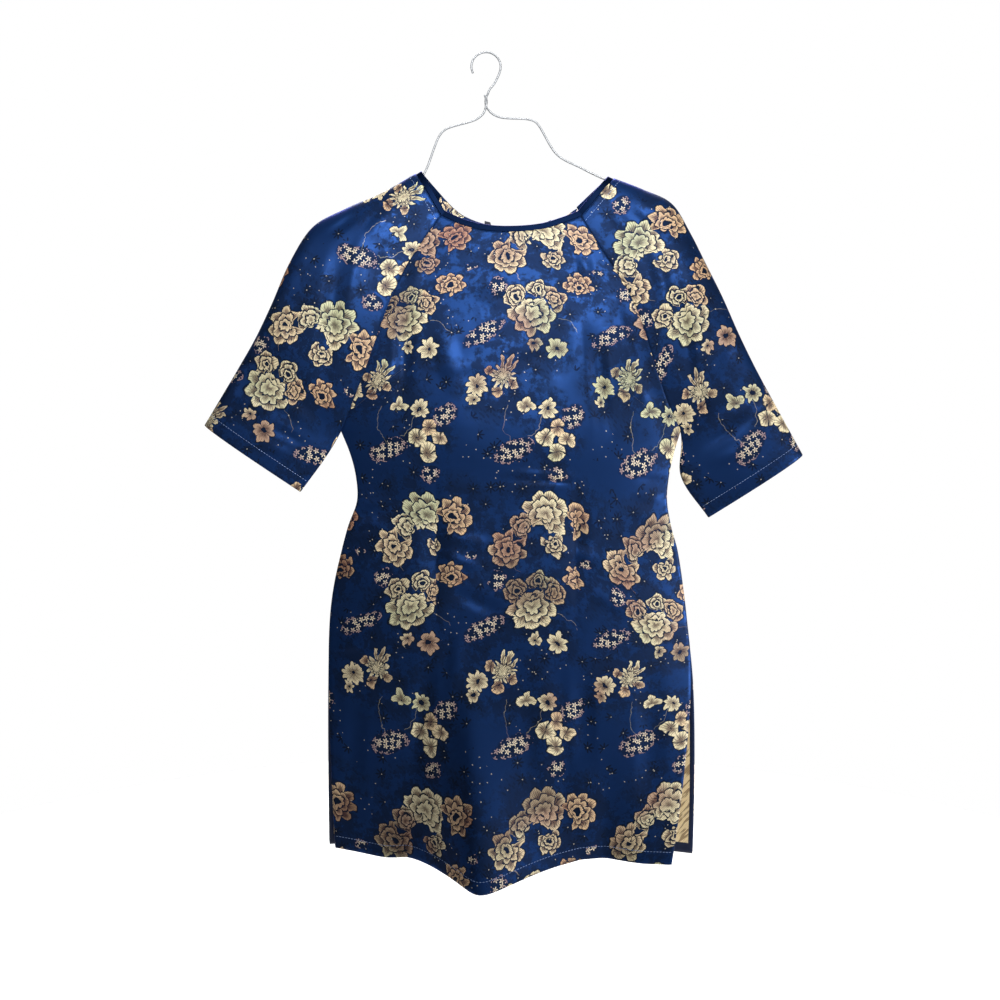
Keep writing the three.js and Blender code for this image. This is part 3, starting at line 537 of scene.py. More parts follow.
def group(name, inputs, outputs):
    """An empty shader node group with its sockets, and its two end nodes."""
    tree = bpy.data.node_groups.new(name, "ShaderNodeTree")
    for way, sockets in (("INPUT", inputs), ("OUTPUT", outputs)):
        for label, kind in sockets:
            tree.interface.new_socket(label, in_out=way, socket_type="NodeSocket" + kind)
    return tree, tree.nodes.new("NodeGroupInput"), tree.nodes.new("NodeGroupOutput")


# across, up, radius, petals all round, notch, hollow, warmth, the way that it faces, and
# half the angle that its large petals span
FLOWERS = [
    # the double flower: a rosette, a cup of petals under it, lobes, a cup and an open ring
    (-0.003, 0.019, 0.031, 9, 0.26, 0.0, 0.05, 1.3, 2.5),
    (-0.030, 0.005, 0.019, 6, 0.24, 0.0, 0.00, 2.6, 2.2),
    (-0.049, -0.021, 0.025, 7, 0.30, 0.15, 0.45, -2.2, 2.6),
    (0.007, -0.017, 0.017, 6, 0.32, 0.18, 0.25, -1.2, 2.4),
    (0.041, 0.018, 0.025, 8, 0.30, 0.20, 0.85, 0.5, 2.3),
    # the single flower: a rosette that opens downward under two hollow lobes
    (-0.019, -0.092, 0.031, 9, 0.24, 0.0, 0.10, -1.6, 2.4),
    (-0.039, -0.073, 0.017, 5, 0.26, 0.22, 0.25, 2.2, 2.6),
    (-0.011, -0.064, 0.016, 5, 0.26, 0.22, 0.10, 1.4, 2.6),
    (0.006, -0.076, 0.018, 5, 0.26, 0.0, 0.70, 0.3, 1.8),
    # an arch of petals round a pale curl
    (0.038, -0.056, 0.021, 8, 0.38, 0.20, 0.95, 1.57, 2.0),
    (-0.016, -0.133, 0.0095, 6, 0.34, 0.24, 0.05, 0.0, 4.0),
    (0.011, -0.137, 0.0145, 7, 0.36, 0.22, 0.05, 0.4, 4.0),
    # a daisy beside an orchid with two pointed petals
    (-0.086, -0.183, 0.0150, 9, 0.42, 0.20, 0.15, 0.2, 4.0),
    (-0.069, -0.165, 0.0100, 2, 0.22, 0.0, 0.75, 2.6, 4.0),
    (-0.061, -0.188, 0.0100, 2, 0.22, 0.0, 0.80, -1.5, 4.0),
    (-0.044, -0.180, 0.0105, 2, 0.22, 0.0, 0.70, -0.5, 4.0),
    (-0.055, -0.171, 0.0290, 13, 0.80, 0.0, 0.05, 1.15, 0.36),
    # a small flower of three petals
    (-0.026, -0.208, 0.0130, 4, 0.50, 0.0, 0.10, 1.6, 2.2),
    # an orchid of three round petals under a dome of stars
    (-0.003, -0.246, 0.0125, 2, 0.20, 0.0, 0.10, 2.7, 4.0),
    (0.010, -0.264, 0.0125, 2, 0.20, 0.0, 0.10, -1.5, 4.0),
    (0.024, -0.247, 0.0110, 2, 0.30, 0.0, 0.35, -0.3, 4.0),
    (0.011, -0.234, 0.0110, 2, 0.24, 0.0, 0.60, 1.5, 4.0),
    (0.000, -0.211, 0.0130, 8, 0.42, 0.22, 0.05, 0.5, 4.0),
    (0.066, -0.200, 0.0085, 6, 0.40, 0.24, 0.20, 0.0, 4.0),
]
# across, up, half length, half width, turn
SPRAYS = [
    (-0.078, -0.118, 0.029, 0.0105, 0.52), (-0.061, -0.059, 0.0125, 0.0105, 0.9),
    (0.031, -0.219, 0.0165, 0.0125, 0.6), (-0.042, -0.262, 0.026, 0.0135, 0.35),
    (0.012, -0.292, 0.0125, 0.0100, 0.4), (0.064, -0.030, 0.0080, 0.0060, 0.0),
]
# across, up, radius, middle angle, half angle
STEMS = [
    (-0.020, -0.030, 0.024, -2.9, 0.7), (-0.040, -0.215, 0.034, -0.4, 0.7),
    (-0.010, -0.225, 0.044, 3.3, 0.6), (0.040, -0.270, 0.030, 2.6, 0.6),
    (0.010, -0.130, 0.030, 1.0, 0.5),
]
# The three rows of petals, as shares of the flower's radius. A flower wider than the large
# radius has all three, and a smaller one has only the first.
PETAL_ROWS = (1.0, 0.68, 0.38)
LARGE_RADIUS = 0.0152
# The dark outlines are this wide, whatever the flower's size.
OUTLINE = 0.0013
STEM_HALF_WIDTH = 0.00035
# How far the thread strays from the drawn shapes.
STRAY = 0.010
# The flowers' thread, pale and warm, at a petal's rim and at its root.
PALE_RIM, PALE_ROOT = (0.94, 0.84, 0.54, 1), (0.26, 0.19, 0.12, 1)
WARM_RIM, WARM_ROOT = (0.80, 0.53, 0.30, 1), (0.18, 0.10, 0.07, 1)
# The grey green tint is painted sheen and the mauve tint painted shade, for the metallic thread under
# other angles of the light.
CREAM, GREY_GREEN_SHEEN, MAUVE_SHADE = (1, 1, 1, 1), (0.72, 0.82, 0.78, 1), (0.62, 0.47, 0.48, 1)
STAR_THREAD, STAR_FADED = (0.80, 0.70, 0.52, 1), (0.34, 0.24, 0.25, 1)
STAR_EYE = (0.20, 0.13, 0.10, 1)
DOT_THREAD = (0.50, 0.46, 0.38, 1)
# Points to a metre of the loose lattices that the tiny things lie on.
SPRAY_STARS, DOTS, DARK_STARS = 122.0, 74.0, 44.0
# The leaves' own slanted axes, in leaves to a metre.
LEAF_WIDE, LEAF_LONG = (190.0, 150.0, 0.0), (-62.0, 88.0, 0.0)
FLOAT_PERIOD = 0.0027
TWILL_PERIOD = 0.0011
# How high the puckers and the twill stand.
PUCKER, SMALL_PUCKER, TWILL_HEIGHT = 0.0070, 0.00065, 0.00003


def times(tree, first, *others):
    """The product of values."""
    for other in others:
        first = maths(tree, "MULTIPLY", first, other)
    return first


def most(tree, first, *others):
    """The largest of values."""
    for other in others:
        first = maths(tree, "MAXIMUM", first, other)
    return first


def parts(tree, vector):
    """The x, y and z of a vector."""
    return put(tree, "ShaderNodeSeparateXYZ", vector).node.outputs


def noise(tree, place, scale, detail, roughness=None, out=0):
    """Soft noise over the flat cloth: a value, or three values as a vector with out 1."""
    kind = "ShaderNodeTexNoise"
    return put(tree, kind, place, None, scale, detail, roughness, out=out, noise_dimensions="2D")


def wave(tree, value, period):
    """The sine of a length, once round in each period."""
    return maths(tree, "SINE", times(tree, value, 2 * math.pi / period))


def cells(tree, vector, randomness=1.0):
    """Loose cells about a unit wide, each round a point that strays by the randomness."""
    made = tree.nodes.new("ShaderNodeTexVoronoi")
    made.voronoi_dimensions = "2D"
    made.inputs["Scale"].default_value = 1.0
    made.inputs["Randomness"].default_value = randomness
    tree.links.new(vector, made.inputs["Vector"])
    return made.outputs


def lattice(tree, place, scale, randomness):
    """The distance and the bearing from the nearest of loose points, scale to a metre."""
    spread = vectors(tree, "SCALE", place, None, None, scale)
    cell = cells(tree, spread, randomness)
    across, up, _ = parts(tree, vectors(tree, "SUBTRACT", spread, cell["Position"]))
    return cell["Distance"], maths(tree, "ARCTAN2", up, across)


def star(tree, place, scale, randomness, rays, size, swell):
    """Stars on loose points: circles that swell by the cosine of their rays. Gives the
    distance from the nearest and where the stars lie."""
    far, bearing = lattice(tree, place, scale, randomness)
    rays_at = maths(tree, "COSINE", times(tree, bearing, float(rays)))
    return far, maths(tree, "LESS_THAN", far, maths(tree, "MULTIPLY_ADD", rays_at, swell, size))


def from_centre(tree, place, across, up):
    """The way to a place from the nearest copy of a motif's centre."""
    half = (REPEAT[0] / 2, REPEAT[1] / 2, 1.0)
    away = vectors(tree, "SUBTRACT", place, (across, up, 0.0))
    return vectors(tree, "WRAP", away, half, tuple(-side for side in half))


def nearest_flower(tree, place):
    """The flower that is nearest for its size: how many radii away its centre is, the swing
    of its petals at that bearing, how full it is there, and its own values."""
    far, local, span = 99.0, (0.0, 0.0, 0.0), 3.0
    shape, look = (5.0, 0.0, 0.0), (0.0, 0.0, 0.0)
    for across, up, radius, petals, notch, hollow, warmth, faces, half_span in FLOWERS:
        away = from_centre(tree, place, across, up)
        away = vectors(tree, "MULTIPLY", away, (1 / radius, 1 / radius, 0.0))
        radii = vectors(tree, "LENGTH", away, out=1)
        closer = maths(tree, "LESS_THAN", radii, far)
        local = mixed(tree, closer, local, away, "VECTOR")
        shape = mixed(tree, closer, shape, (petals, notch, hollow), "VECTOR")
        look = mixed(tree, closer, look, (warmth, faces, radius), "VECTOR")
        span = mixed(tree, closer, span, half_span)
        far = maths(tree, "MINIMUM", radii, far)
    x, y, _ = parts(tree, local)
    petals, notch, hollow = parts(tree, shape)
    warmth, faces, radius = parts(tree, look)
    angle = maths(tree, "SUBTRACT", maths(tree, "ARCTAN2", y, x), faces)
    angle = maths(tree, "WRAP", angle, math.pi, -math.pi)
    beyond = stepped(tree, maths(tree, "SUBTRACT", maths(tree, "ABSOLUTE", angle), span), 0.0, 0.3)
    return {
        "far": far, "notch": notch, "hollow": hollow, "warmth": warmth, "radius": radius,
        "large": maths(tree, "GREATER_THAN", radius, LARGE_RADIUS),
        "swing": times(tree, angle, petals, 0.5),
        "fullness": maths(tree, "MULTIPLY_ADD", beyond, -0.42, 1.0),
    }


def petal_rows(tree, flower):
    """Rows of scalloped petals: each row reaches 1 - notch (1 - |cos swing|^0.7) of its own
    share of the radius. Gives where the petals' thread lies inside their outlines, how deep
    in the flower a place is, and how deep in its petal."""
    line = 9.0
    for i, size in enumerate(PETAL_ROWS):
        phase = maths(tree, "ADD", flower["swing"], i * math.pi / 2)
        lobe = maths(tree, "POWER", maths(tree, "ABSOLUTE", maths(tree, "COSINE", phase)), 0.7)
        cut_in = times(tree, maths(tree, "SUBTRACT", 1.0, lobe), flower["notch"])
        outline = times(tree, maths(tree, "SUBTRACT", 1.0, cut_in), flower["fullness"])
        reach = times(tree, outline, size if i == 0 else times(tree, flower["large"], size))
        inside = maths(tree, "SUBTRACT", reach, flower["far"])
        line = maths(tree, "MINIMUM", line, maths(tree, "ABSOLUTE", inside))
        if i == 0:
            flower_depth, petal_depth, joint = inside, inside, lobe
        else:
            within = maths(tree, "GREATER_THAN", inside, 0.0)
            petal_depth = mixed(tree, within, petal_depth, inside)
            joint = mixed(tree, within, joint, lobe)
    line = maths(tree, "MINIMUM", line, times(tree, joint, 0.30))
    line_width = maths(tree, "DIVIDE", OUTLINE, flower["radius"])
    drawn = stepped(tree, maths(tree, "DIVIDE", line, line_width), 0.40, 1.0)
    # A hollow flower is open in the middle, with a thin ring round the hollow.
    closed = maths(tree, "GREATER_THAN", flower["far"], flower["hollow"])
    from_ring = maths(tree, "ABSOLUTE", maths(tree, "SUBTRACT", flower["far"], flower["hollow"]))
    ring = maths(tree, "LESS_THAN", from_ring, times(tree, flower["hollow"], 0.14))
    petal = most(tree, times(tree, drawn, closed), ring)
    petal = times(tree, petal, maths(tree, "GREATER_THAN", flower_depth, 0.0))
    return petal, flower_depth, petal_depth


def petal_thread(tree, place, ripple, flower, petal_depth):
    """The petals' colour and how much of it shows. They pale towards their rims, dark
    threads run out along each from its root, and the colour drifts from cream to grey green
    and to mauve in soft blobs over the cloth. The grey green is painted sheen and the mauve
    painted shade: laid at random, they stand for the metallic thread's cast changing with
    the angle of the light."""
    rooted = times(tree, petal_depth, maths(tree, "MULTIPLY_ADD", flower["large"], 0.56, 0.44))
    inner = stepped(tree, rooted, 0.05, 0.34)
    pale = mixed(tree, inner, PALE_RIM, PALE_ROOT, "RGBA")
    warm = mixed(tree, inner, WARM_RIM, WARM_ROOT, "RGBA")
    color = mixed(tree, flower["warmth"], pale, warm, "RGBA")
    # Painted sheen and painted shade: soft blobs of grey green and mauve tint the petals.
    sheen_drift = parts(tree, noise(tree, place, 8.0, 1.0, out=1))
    green = mixed(tree, stepped(tree, sheen_drift[0], 0.50, 0.66), CREAM, GREY_GREEN_SHEEN, "RGBA")
    mauve = mixed(tree, stepped(tree, sheen_drift[1], 0.52, 0.66), CREAM, MAUVE_SHADE, "RGBA")
    color = vectors(tree, "MULTIPLY", vectors(tree, "MULTIPLY", color, green), mauve)
    wander = times(tree, parts(tree, ripple)[0], 7.0)
    comb = maths(tree, "SINE", maths(tree, "MULTIPLY_ADD", flower["swing"], 7.0, wander))
    comb = stepped(tree, maths(tree, "ABSOLUTE", comb), 0.62, 0.25)
    comb = times(tree, comb, maths(tree, "MULTIPLY_ADD", inner, 0.40, 0.52))
    return color, maths(tree, "SUBTRACT", 1.0, comb)


def sprays(tree, place, strayed):
    """Sprays of tiny stars, each with five petals, packed inside an ellipse. Gives how deep
    in a spray a place is, where the stars lie, and their colour."""
    spray = -1.0
    for across, up, long, wide, turned in SPRAYS:
        away = from_centre(tree, strayed, across, up)
        away = put(
            tree, "ShaderNodeVectorRotate", away, None, None, -turned, rotation_type="Z_AXIS",
        )
        away = vectors(tree, "MULTIPLY", away, (1 / long, 1 / wide, 0.0))
        spray = most(tree, spray, maths(tree, "SUBTRACT", 1.0, vectors(tree, "LENGTH", away, out=1)))
    from_star, stars = star(tree, place, SPRAY_STARS, 0.55, 5, 0.29, 0.17)
    stars = times(tree, stars, maths(tree, "GREATER_THAN", spray, 0.0))
    color = mixed(tree, stepped(tree, spray, 0.55, 0.05), STAR_THREAD, STAR_FADED, "RGBA")
    color = mixed(tree, stepped(tree, from_star, 0.16, 0.05), color, STAR_EYE, "RGBA")
    return spray, stars, color


def dots(tree, place):
    """Single dots of thread scattered in clouds, some of them on a dark star. Gives where
    the dots and the dark stars lie."""
    from_dot, _ = lattice(tree, place, DOTS, 1.0)
    cloud = maths(tree, "GREATER_THAN", noise(tree, place, 21.0, 1.0), 0.60)
    dot = times(tree, maths(tree, "LESS_THAN", from_dot, 0.050), cloud)
    from_dark, dark_stars = star(tree, place, DARK_STARS, 0.9, 8, 0.24, 0.11)
    has_stars = maths(tree, "GREATER_THAN", noise(tree, place, 30.0, 0.0), 0.57)
    star_dot = times(tree, maths(tree, "LESS_THAN", from_dark, 0.030), has_stars)
    return most(tree, dot, star_dot), times(tree, dark_stars, has_stars)


def stems(tree, strayed):
    """Thin stems, each part of a circle."""
    found = 0.0
    for across, up, radius, middle, half_angle in STEMS:
        away = from_centre(tree, strayed, across, up)
        ring = vectors(tree, "LENGTH", away, out=1)
        ring = maths(tree, "COMPARE", ring, radius, STEM_HALF_WIDTH)
        x, y, _ = parts(tree, away)
        bearing = maths(tree, "ARCTAN2", y, x)
        bearing = maths(tree, "WRAP", bearing, middle + math.pi, middle - math.pi)
        stem = times(tree, ring, maths(tree, "COMPARE", bearing, middle, half_angle))
        found = most(tree, found, stem)
    return found


def dull_ground(tree, place, far, flower_depth, spray, dark_stars):
    """Tone on tone: dull patches beside the flowers with fine leaves in them, dark stars,
    and dark ground in the outlines, the hollow centres and between the tiny stars."""
    mottle = noise(tree, place, 30.0, 6.0, 0.80)
    patch = times(tree, stepped(tree, far, 2.8, 1.2), stepped(tree, mottle, 0.42, 0.52))
    wide = vectors(tree, "DOT_PRODUCT", place, LEAF_WIDE, out=1)
    long = vectors(tree, "DOT_PRODUCT", place, LEAF_LONG, out=1)
    leaf = cells(tree, put(tree, "ShaderNodeCombineXYZ", wide, long, 0.0))
    leaves = times(
        tree, maths(tree, "LESS_THAN", leaf["Distance"], 0.30),
        stepped(tree, mottle, 0.44, 0.52), stepped(tree, far, 2.6, 1.8), 0.75,
    )
    return most(
        tree, times(tree, patch, 0.70), leaves, times(tree, dark_stars, 0.95),
        stepped(tree, flower_depth, -0.07, -0.02),
        times(tree, stepped(tree, spray, -0.15, 0.10), 0.8),
    )


def flower_group():
    """The woven pattern. Place is the flat cloth's across and up. Thread is where the
    flowers' gold thread lies, Color its colour, and Shade where the ground is dull."""
    tree, start, end = group(
        "woven flowers",
        [("Place", "Vector")],
        [("Thread", "Float"), ("Color", "Color"), ("Shade", "Float")],
    )
    place = start.outputs["Place"]
    ripple = vectors(tree, "SUBTRACT", noise(tree, place, 75.0, 2.0, out=1), (0.5, 0.5, 0.5))
    strayed = vectors(tree, "MULTIPLY_ADD", ripple, (STRAY, STRAY, 0.0), place)
    flower = nearest_flower(tree, strayed)
    petal, flower_depth, petal_depth = petal_rows(tree, flower)
    color, shown = petal_thread(tree, place, ripple, flower, petal_depth)
    spray, stars, star_color = sprays(tree, place, strayed)
    dot, dark_stars = dots(tree, place)
    stem = times(tree, stems(tree, strayed), 0.22)
    color = mixed(tree, stars, color, star_color, "RGBA")
    color = mixed(tree, dot, color, DOT_THREAD, "RGBA")
    # Fine diagonal floats of the thread.
    slant = vectors(tree, "DOT_PRODUCT", place, (1.0, 1.25, 0.0), out=1)
    hatch = maths(tree, "MULTIPLY_ADD", wave(tree, slant, FLOAT_PERIOD), 0.20, 0.80)
    made = {
        "Thread": most(tree, times(tree, petal, shown), stars, dot, stem),
        "Color": vectors(tree, "SCALE", color, None, None, hatch),
        "Shade": dull_ground(tree, place, flower["far"], flower_depth, spray, dark_stars),
    }
    for label, value in made.items():
        tree.links.new(value, end.inputs[label])
    return tree


def satin_group():
    """The satin's soft and small puckers and its fine slanting twill, as a height for a
    bump. Place is the flat cloth's across and up, in metres."""
    tree, start, end = group("satin surface", [("Place", "Vector")], [("Height", "Float")])
    place = start.outputs["Place"]
    wide = vectors(tree, "MULTIPLY", place, (0.8, 2.1, 1.0))
    height = times(tree, noise(tree, wide, 26.0, 2.0, 0.45), PUCKER)
    height = maths(tree, "MULTIPLY_ADD", noise(tree, wide, 120.0, 2.0, 0.5), SMALL_PUCKER, height)
    slant = vectors(tree, "DOT_PRODUCT", place, (1.0, -1.0, 0.0), out=1)
    height = maths(tree, "MULTIPLY_ADD", wave(tree, slant, TWILL_PERIOD), TWILL_HEIGHT, height)
    tree.links.new(height, end.inputs["Height"])
    return tree


FLOWER_GROUP = flower_group()
SATIN_GROUP = satin_group()


def use_group(tree, shared, place):
    """A node of a shared group, fed with the place on the cloth."""
    made = tree.nodes.new("ShaderNodeGroup")
    made.node_tree = shared
    tree.links.new(place, made.inputs["Place"])
    return made.outputs


def new_material(name):
    """A node material with its Principled shader, and its tree."""
    material = bpy.data.materials.new(name)
    material.use_nodes = True
    return material, material.node_tree, material.node_tree.nodes["Principled BSDF"]


GROUND = (0.0080, 0.030, 0.115, 1)
DEEP_GROUND = (0.0070, 0.024, 0.085, 1)
DULL = (0.0035, 0.007, 0.016, 1)
# The satin floats shine like metal, and the flowers and dull patches don't.
SATIN_METAL = 0.57
SATIN_ROUGHNESS, THREAD_ROUGHNESS = 0.44, 0.58
SATIN_TINT = (0.20, 0.36, 1.0, 1)


def place_on_cloth(tree, kind):
    """The flat place on the cloth: the piece's own cut map, or its object's x and z."""
    if kind == "cut":
        return put(tree, "ShaderNodeUVMap", uv_map="cut")
    place = put(tree, "ShaderNodeTexCoord", out=3)
    return put(tree, "ShaderNodeMapping", place, None, (math.pi / 2, 0.0, 0.0))


def brocade_face(name, kind="cut", flowers=True, depth=1.0, gloss=0.22):
    """The face of the brocade: blue satin ground, with the flowers in paler thread. Depth
    scales the ground's colours, and the dull patches lose most of its metal."""
    material, tree, shader = new_material(name)
    place = place_on_cloth(tree, kind)
    height = use_group(tree, SATIN_GROUP, place)["Height"]
    relief = tree.nodes.new("ShaderNodeBump")
    relief.inputs["Strength"].default_value = 0.6
    tree.links.new(height, relief.inputs["Height"])
    tree.links.new(relief.outputs[0], shader.inputs["Normal"])
    cloud = noise(tree, place, 9.0, 2.0)
    shown = tuple(depth * c for c in GROUND[:3]) + (1,)
    deep = tuple(depth * c for c in DEEP_GROUND[:3]) + (1,)
    color = mixed(tree, cloud, shown, deep, "RGBA")
    if flowers:
        pattern = use_group(tree, FLOWER_GROUP, place)
        color = mixed(tree, pattern["Shade"], color, DULL, "RGBA")
        color = mixed(tree, pattern["Thread"], color, pattern["Color"], "RGBA")
        cover = most(tree, pattern["Thread"], times(tree, pattern["Shade"], 0.82))
        rough = mixed(tree, cover, SATIN_ROUGHNESS, THREAD_ROUGHNESS)
        tree.links.new(rough, shader.inputs["Roughness"])
        metal = maths(tree, "MULTIPLY_ADD", cover, -SATIN_METAL, SATIN_METAL)
        tree.links.new(metal, shader.inputs["Metallic"])
    else:
        shader.inputs["Roughness"].default_value = SATIN_ROUGHNESS
        shader.inputs["Metallic"].default_value = SATIN_METAL
    tree.links.new(color, shader.inputs["Base Color"])
    shader.inputs["Specular IOR Level"].default_value = gloss
    shader.inputs["Specular Tint"].default_value = SATIN_TINT
    return material


# How wide the edges are turned in, and the colours of the reverse.
TURNED_SIDE, TURNED_HEM = 0.0055, 0.0125
TURNED = (0.0008, 0.009, 0.045, 1)
TAN, DARK_TAN = (0.94, 0.77, 0.46, 1), (0.34, 0.23, 0.12, 1)
GRAIN_PERIOD = 0.0034


def brocade_back(name):
    """The reverse of the brocade: a tan diagonal grain, and blue where the cloth's edges
    are turned in."""
    material, tree, shader = new_material(name)
    place = put(tree, "ShaderNodeUVMap", uv_map="cut")
    slant = vectors(tree, "DOT_PRODUCT", place, (1.0, 1.1, 0.0), out=1)
    grain = wave(tree, slant, GRAIN_PERIOD)
    along = vectors(tree, "DOT_PRODUCT", place, (0.24, -0.22, 0.0), out=1)
    drawn_out = put(tree, "ShaderNodeCombineXYZ", slant, along, 0.0)
    streaks = stepped(tree, noise(tree, drawn_out, 150.0, 3.0), 0.47, 0.62)
    share = maths(tree, "MULTIPLY_ADD", grain, 0.22, streaks)
    tan = mixed(tree, share, TAN, DARK_TAN, "RGBA")
    from_side, from_hem, _ = parts(tree, put(tree, "ShaderNodeUVMap", uv_map="edge"))
    at_side = maths(tree, "LESS_THAN", from_side, TURNED_SIDE)
    turned = most(tree, at_side, maths(tree, "LESS_THAN", from_hem, TURNED_HEM))
    color = mixed(tree, turned, tan, TURNED, "RGBA")
    tree.links.new(color, shader.inputs["Base Color"])
    tree.links.new(mixed(tree, turned, 0.62, 0.4), shader.inputs["Roughness"])
    return material


FACE = brocade_face("brocade_face")
REVERSE = brocade_back("brocade_reverse")

front_edge = edge_distance(front, ("first", "last"))
front_piece = cloth("front_cloth", front, front_cut, [FACE, REVERSE], front_jump, front_edge)
declare(front_piece, front, "front")

# ---- the back ---------------------------------------------------------------------------
# Two halves joined by the centre-back seam, which is open at the top where the zip is
# undone. The halves part in a V from the slider up to the neck band.

BACK_OPENING = table("height middle gap", [
    (-1010, 33, 0), (-560, 37, 0), (-402, 39, 0), (-380, 39, 6),
    (-330, 39.5, 27), (-270, 40, 53), (-218, 40, 71),
])
BACK_OPENING["at"] = BACK_OPENING.pop("height")
BACK_START = (-0.010, -0.560)
BACK_ROWS = FRONT_ROWS
BACK_COLUMNS = 78


def back_half(side):
    """One half of the back, from its side to the edge of the opening."""
    left, right, _ = body_ends(BACK_ROWS, "back")
    width = right["x"] - left["x"]
    middle_z = body_points(BACK_ROWS, np.full(len(BACK_ROWS), 0.5), "back")[:, 2]
    apart = (np.maximum(read(BACK_OPENING, "gap", middle_z), 0) + SEAM) / 2
    edge_x = read(BACK_OPENING, "middle", middle_z) + (apart if side == "right" else -apart)
    edge = ((edge_x - left["x"]) / width)[:, None]
    inset = (SEAM / 2 / width)[:, None]
    outer = inset if side == "left" else 1 - inset
    across = lerp(outer, edge, np.linspace(0, 1, BACK_COLUMNS)[None, :])
    down = np.repeat(BACK_ROWS[:, None], BACK_COLUMNS, axis=1)
    return body_points(down, across, "back")


backs = {side: back_half(side) for side in ("left", "right")}
for side, grid in backs.items():
    along = lengths(grid, 1)
    from_middle = along[:, -1:] - along
    across = from_middle * (-1 if side == "left" else 1)
    down = lengths(grid, 0)
    back_cut = np.stack([-across, grid[:1, :, 2] - down], axis=-1) - np.array(BACK_START)
    name = f"back_{side}"
    edge = edge_distance(grid, ("first",))
    piece = cloth(f"{name}_cloth", grid, back_cut, [FACE, REVERSE], None, edge)
    declare(piece, grid, name)

# ---- the sleeves ------------------------------------------------------------------------
# Raglan sleeves cut in one with the shoulder, from the neck band to a plain turned hem
# above the elbow, folded along the top of the arm and sewn under it.

SLEEVE_ROWS = np.concatenate([np.linspace(0, 1, 76), np.linspace(1, 2, 34)[1:]])
SLEEVE_COLUMNS = 109
# Where the flowers' repeat starts on each sleeve, and how far the cloth's grain is turned.
SLEEVE_CUT = {
    "left": {"start": (-0.1865, -0.3666), "grain": math.radians(42)},
    "right": {"start": (0.1965, -0.261), "grain": math.radians(-37)},
}
SLEEVE_FREE = 10


def sleeve_points(rows, side, station, turn):
    """Points of a sleeve: turn runs from the front seam over the fold, at 90 degrees, to
    the back seam. The share of the way to the fold is the sine of turn, the depth its
    cosine, and the swell the sine of twice the turn. The creases die out at the seams
    and at the fold."""
    front_x, front_z = seam_point(rows, station, "front")
    back_x, back_z = seam_point(rows, station, "back")
    ahead = turn <= math.pi / 2
    seam_x = np.where(ahead, front_x, back_x)
    seam_z = np.where(ahead, front_z, back_z)
    fold_x, fold_z = read(rows, "fold_x", station), read(rows, "fold_z", station)
    inset = SEAM / 2 / np.hypot(fold_x - seam_x, fold_z - seam_z)
    share = lerp(inset, 1, np.sin(turn))
    stands = np.where(ahead, read(rows, "front", station), read(rows, "back", station))
    y = -stands * np.cos(turn) - read(rows, "full", station) * np.sin(2 * turn)
    x, z = lerp(seam_x, fold_x, share), lerp(seam_z, fold_z, share)
    free = (1 - np.sin(turn) ** SLEEVE_FREE) * (1 - np.abs(np.cos(turn)) ** SLEEVE_FREE)
    before = creases(f"{side} sleeve front", x, z)
    behind = creases(f"{side} sleeve back", x, z)
    y = y + free * np.where(ahead, -before, behind)
    return np.stack([x, y, z], axis=-1)


sleeves = {}
for side, rows in (("left", LEFT_SLEEVE), ("right", RIGHT_SLEEVE)):
    station = np.repeat(SLEEVE_ROWS[:, None], SLEEVE_COLUMNS, axis=1)
    turn = np.repeat(np.linspace(0, math.pi, SLEEVE_COLUMNS)[None, :], len(SLEEVE_ROWS), axis=0)
    grid = sleeve_points(rows, side, station, turn)
    sleeves[side] = grid
    # The flat cloth: from the fold line, each way by the length round the sleeve.
    around = lengths(grid, 1)
    fold_at = SLEEVE_COLUMNS // 2
    seam_x, seam_z = seam_point(rows, SLEEVE_ROWS, "front")
    fold = np.stack([read(rows, "fold_x", SLEEVE_ROWS), read(rows, "fold_z", SLEEVE_ROWS)], axis=-1)
    out = fold - np.stack([seam_x, seam_z], axis=-1)
    out /= np.linalg.norm(out, axis=1, keepdims=True)
    reach = around - around[:, fold_at:fold_at + 1]
    flat = fold[:, None, :] + out[:, None, :] * reach[:, :, None]
    flat = flat - np.array(SLEEVE_CUT[side]["start"])
    grain = SLEEVE_CUT[side]["grain"]
    turned = np.array([[math.cos(grain), -math.sin(grain)], [math.sin(grain), math.cos(grain)]])
    sleeve_cut = flat @ turned.T
    edge = edge_distance(grid, ())
    name = f"sleeve_{side}"
    piece = cloth(f"{name}_cloth", grid, sleeve_cut, [FACE, REVERSE], None, edge)
    declare(piece, grid, name)

# ---- the neck band ----------------------------------------------------------------------
# A narrow band of the plain satin, folded over the neckline from one edge of the back
# opening round to the other.

BAND_WIDTH = 7 * MM
BAND_ROWS = 9
# The band's lean is evened out over so many points round the neck.
BAND_EVENED = 25
BAND = brocade_face("band_satin", "object", flowers=False, depth=0.15, gloss=0.06)


def neck_ring():
    """The panels' top edges in order round the neck, from the left edge of the back
    opening, with the row below, so that the band can carry on from the cloth."""
    pieces = [
        backs["left"][:2, ::-1], sleeves["left"][:2, ::-1], front[:2],
        sleeves["right"][:2], backs["right"][:2],
    ]
    top = np.concatenate([p[0] for p in pieces])
    below = np.concatenate([p[1] for p in pieces])
    far = np.linalg.norm(np.diff(top, axis=0), axis=1)
    kept = np.concatenate([[True], far > 2 * SEAM])
    return top[kept], below[kept]


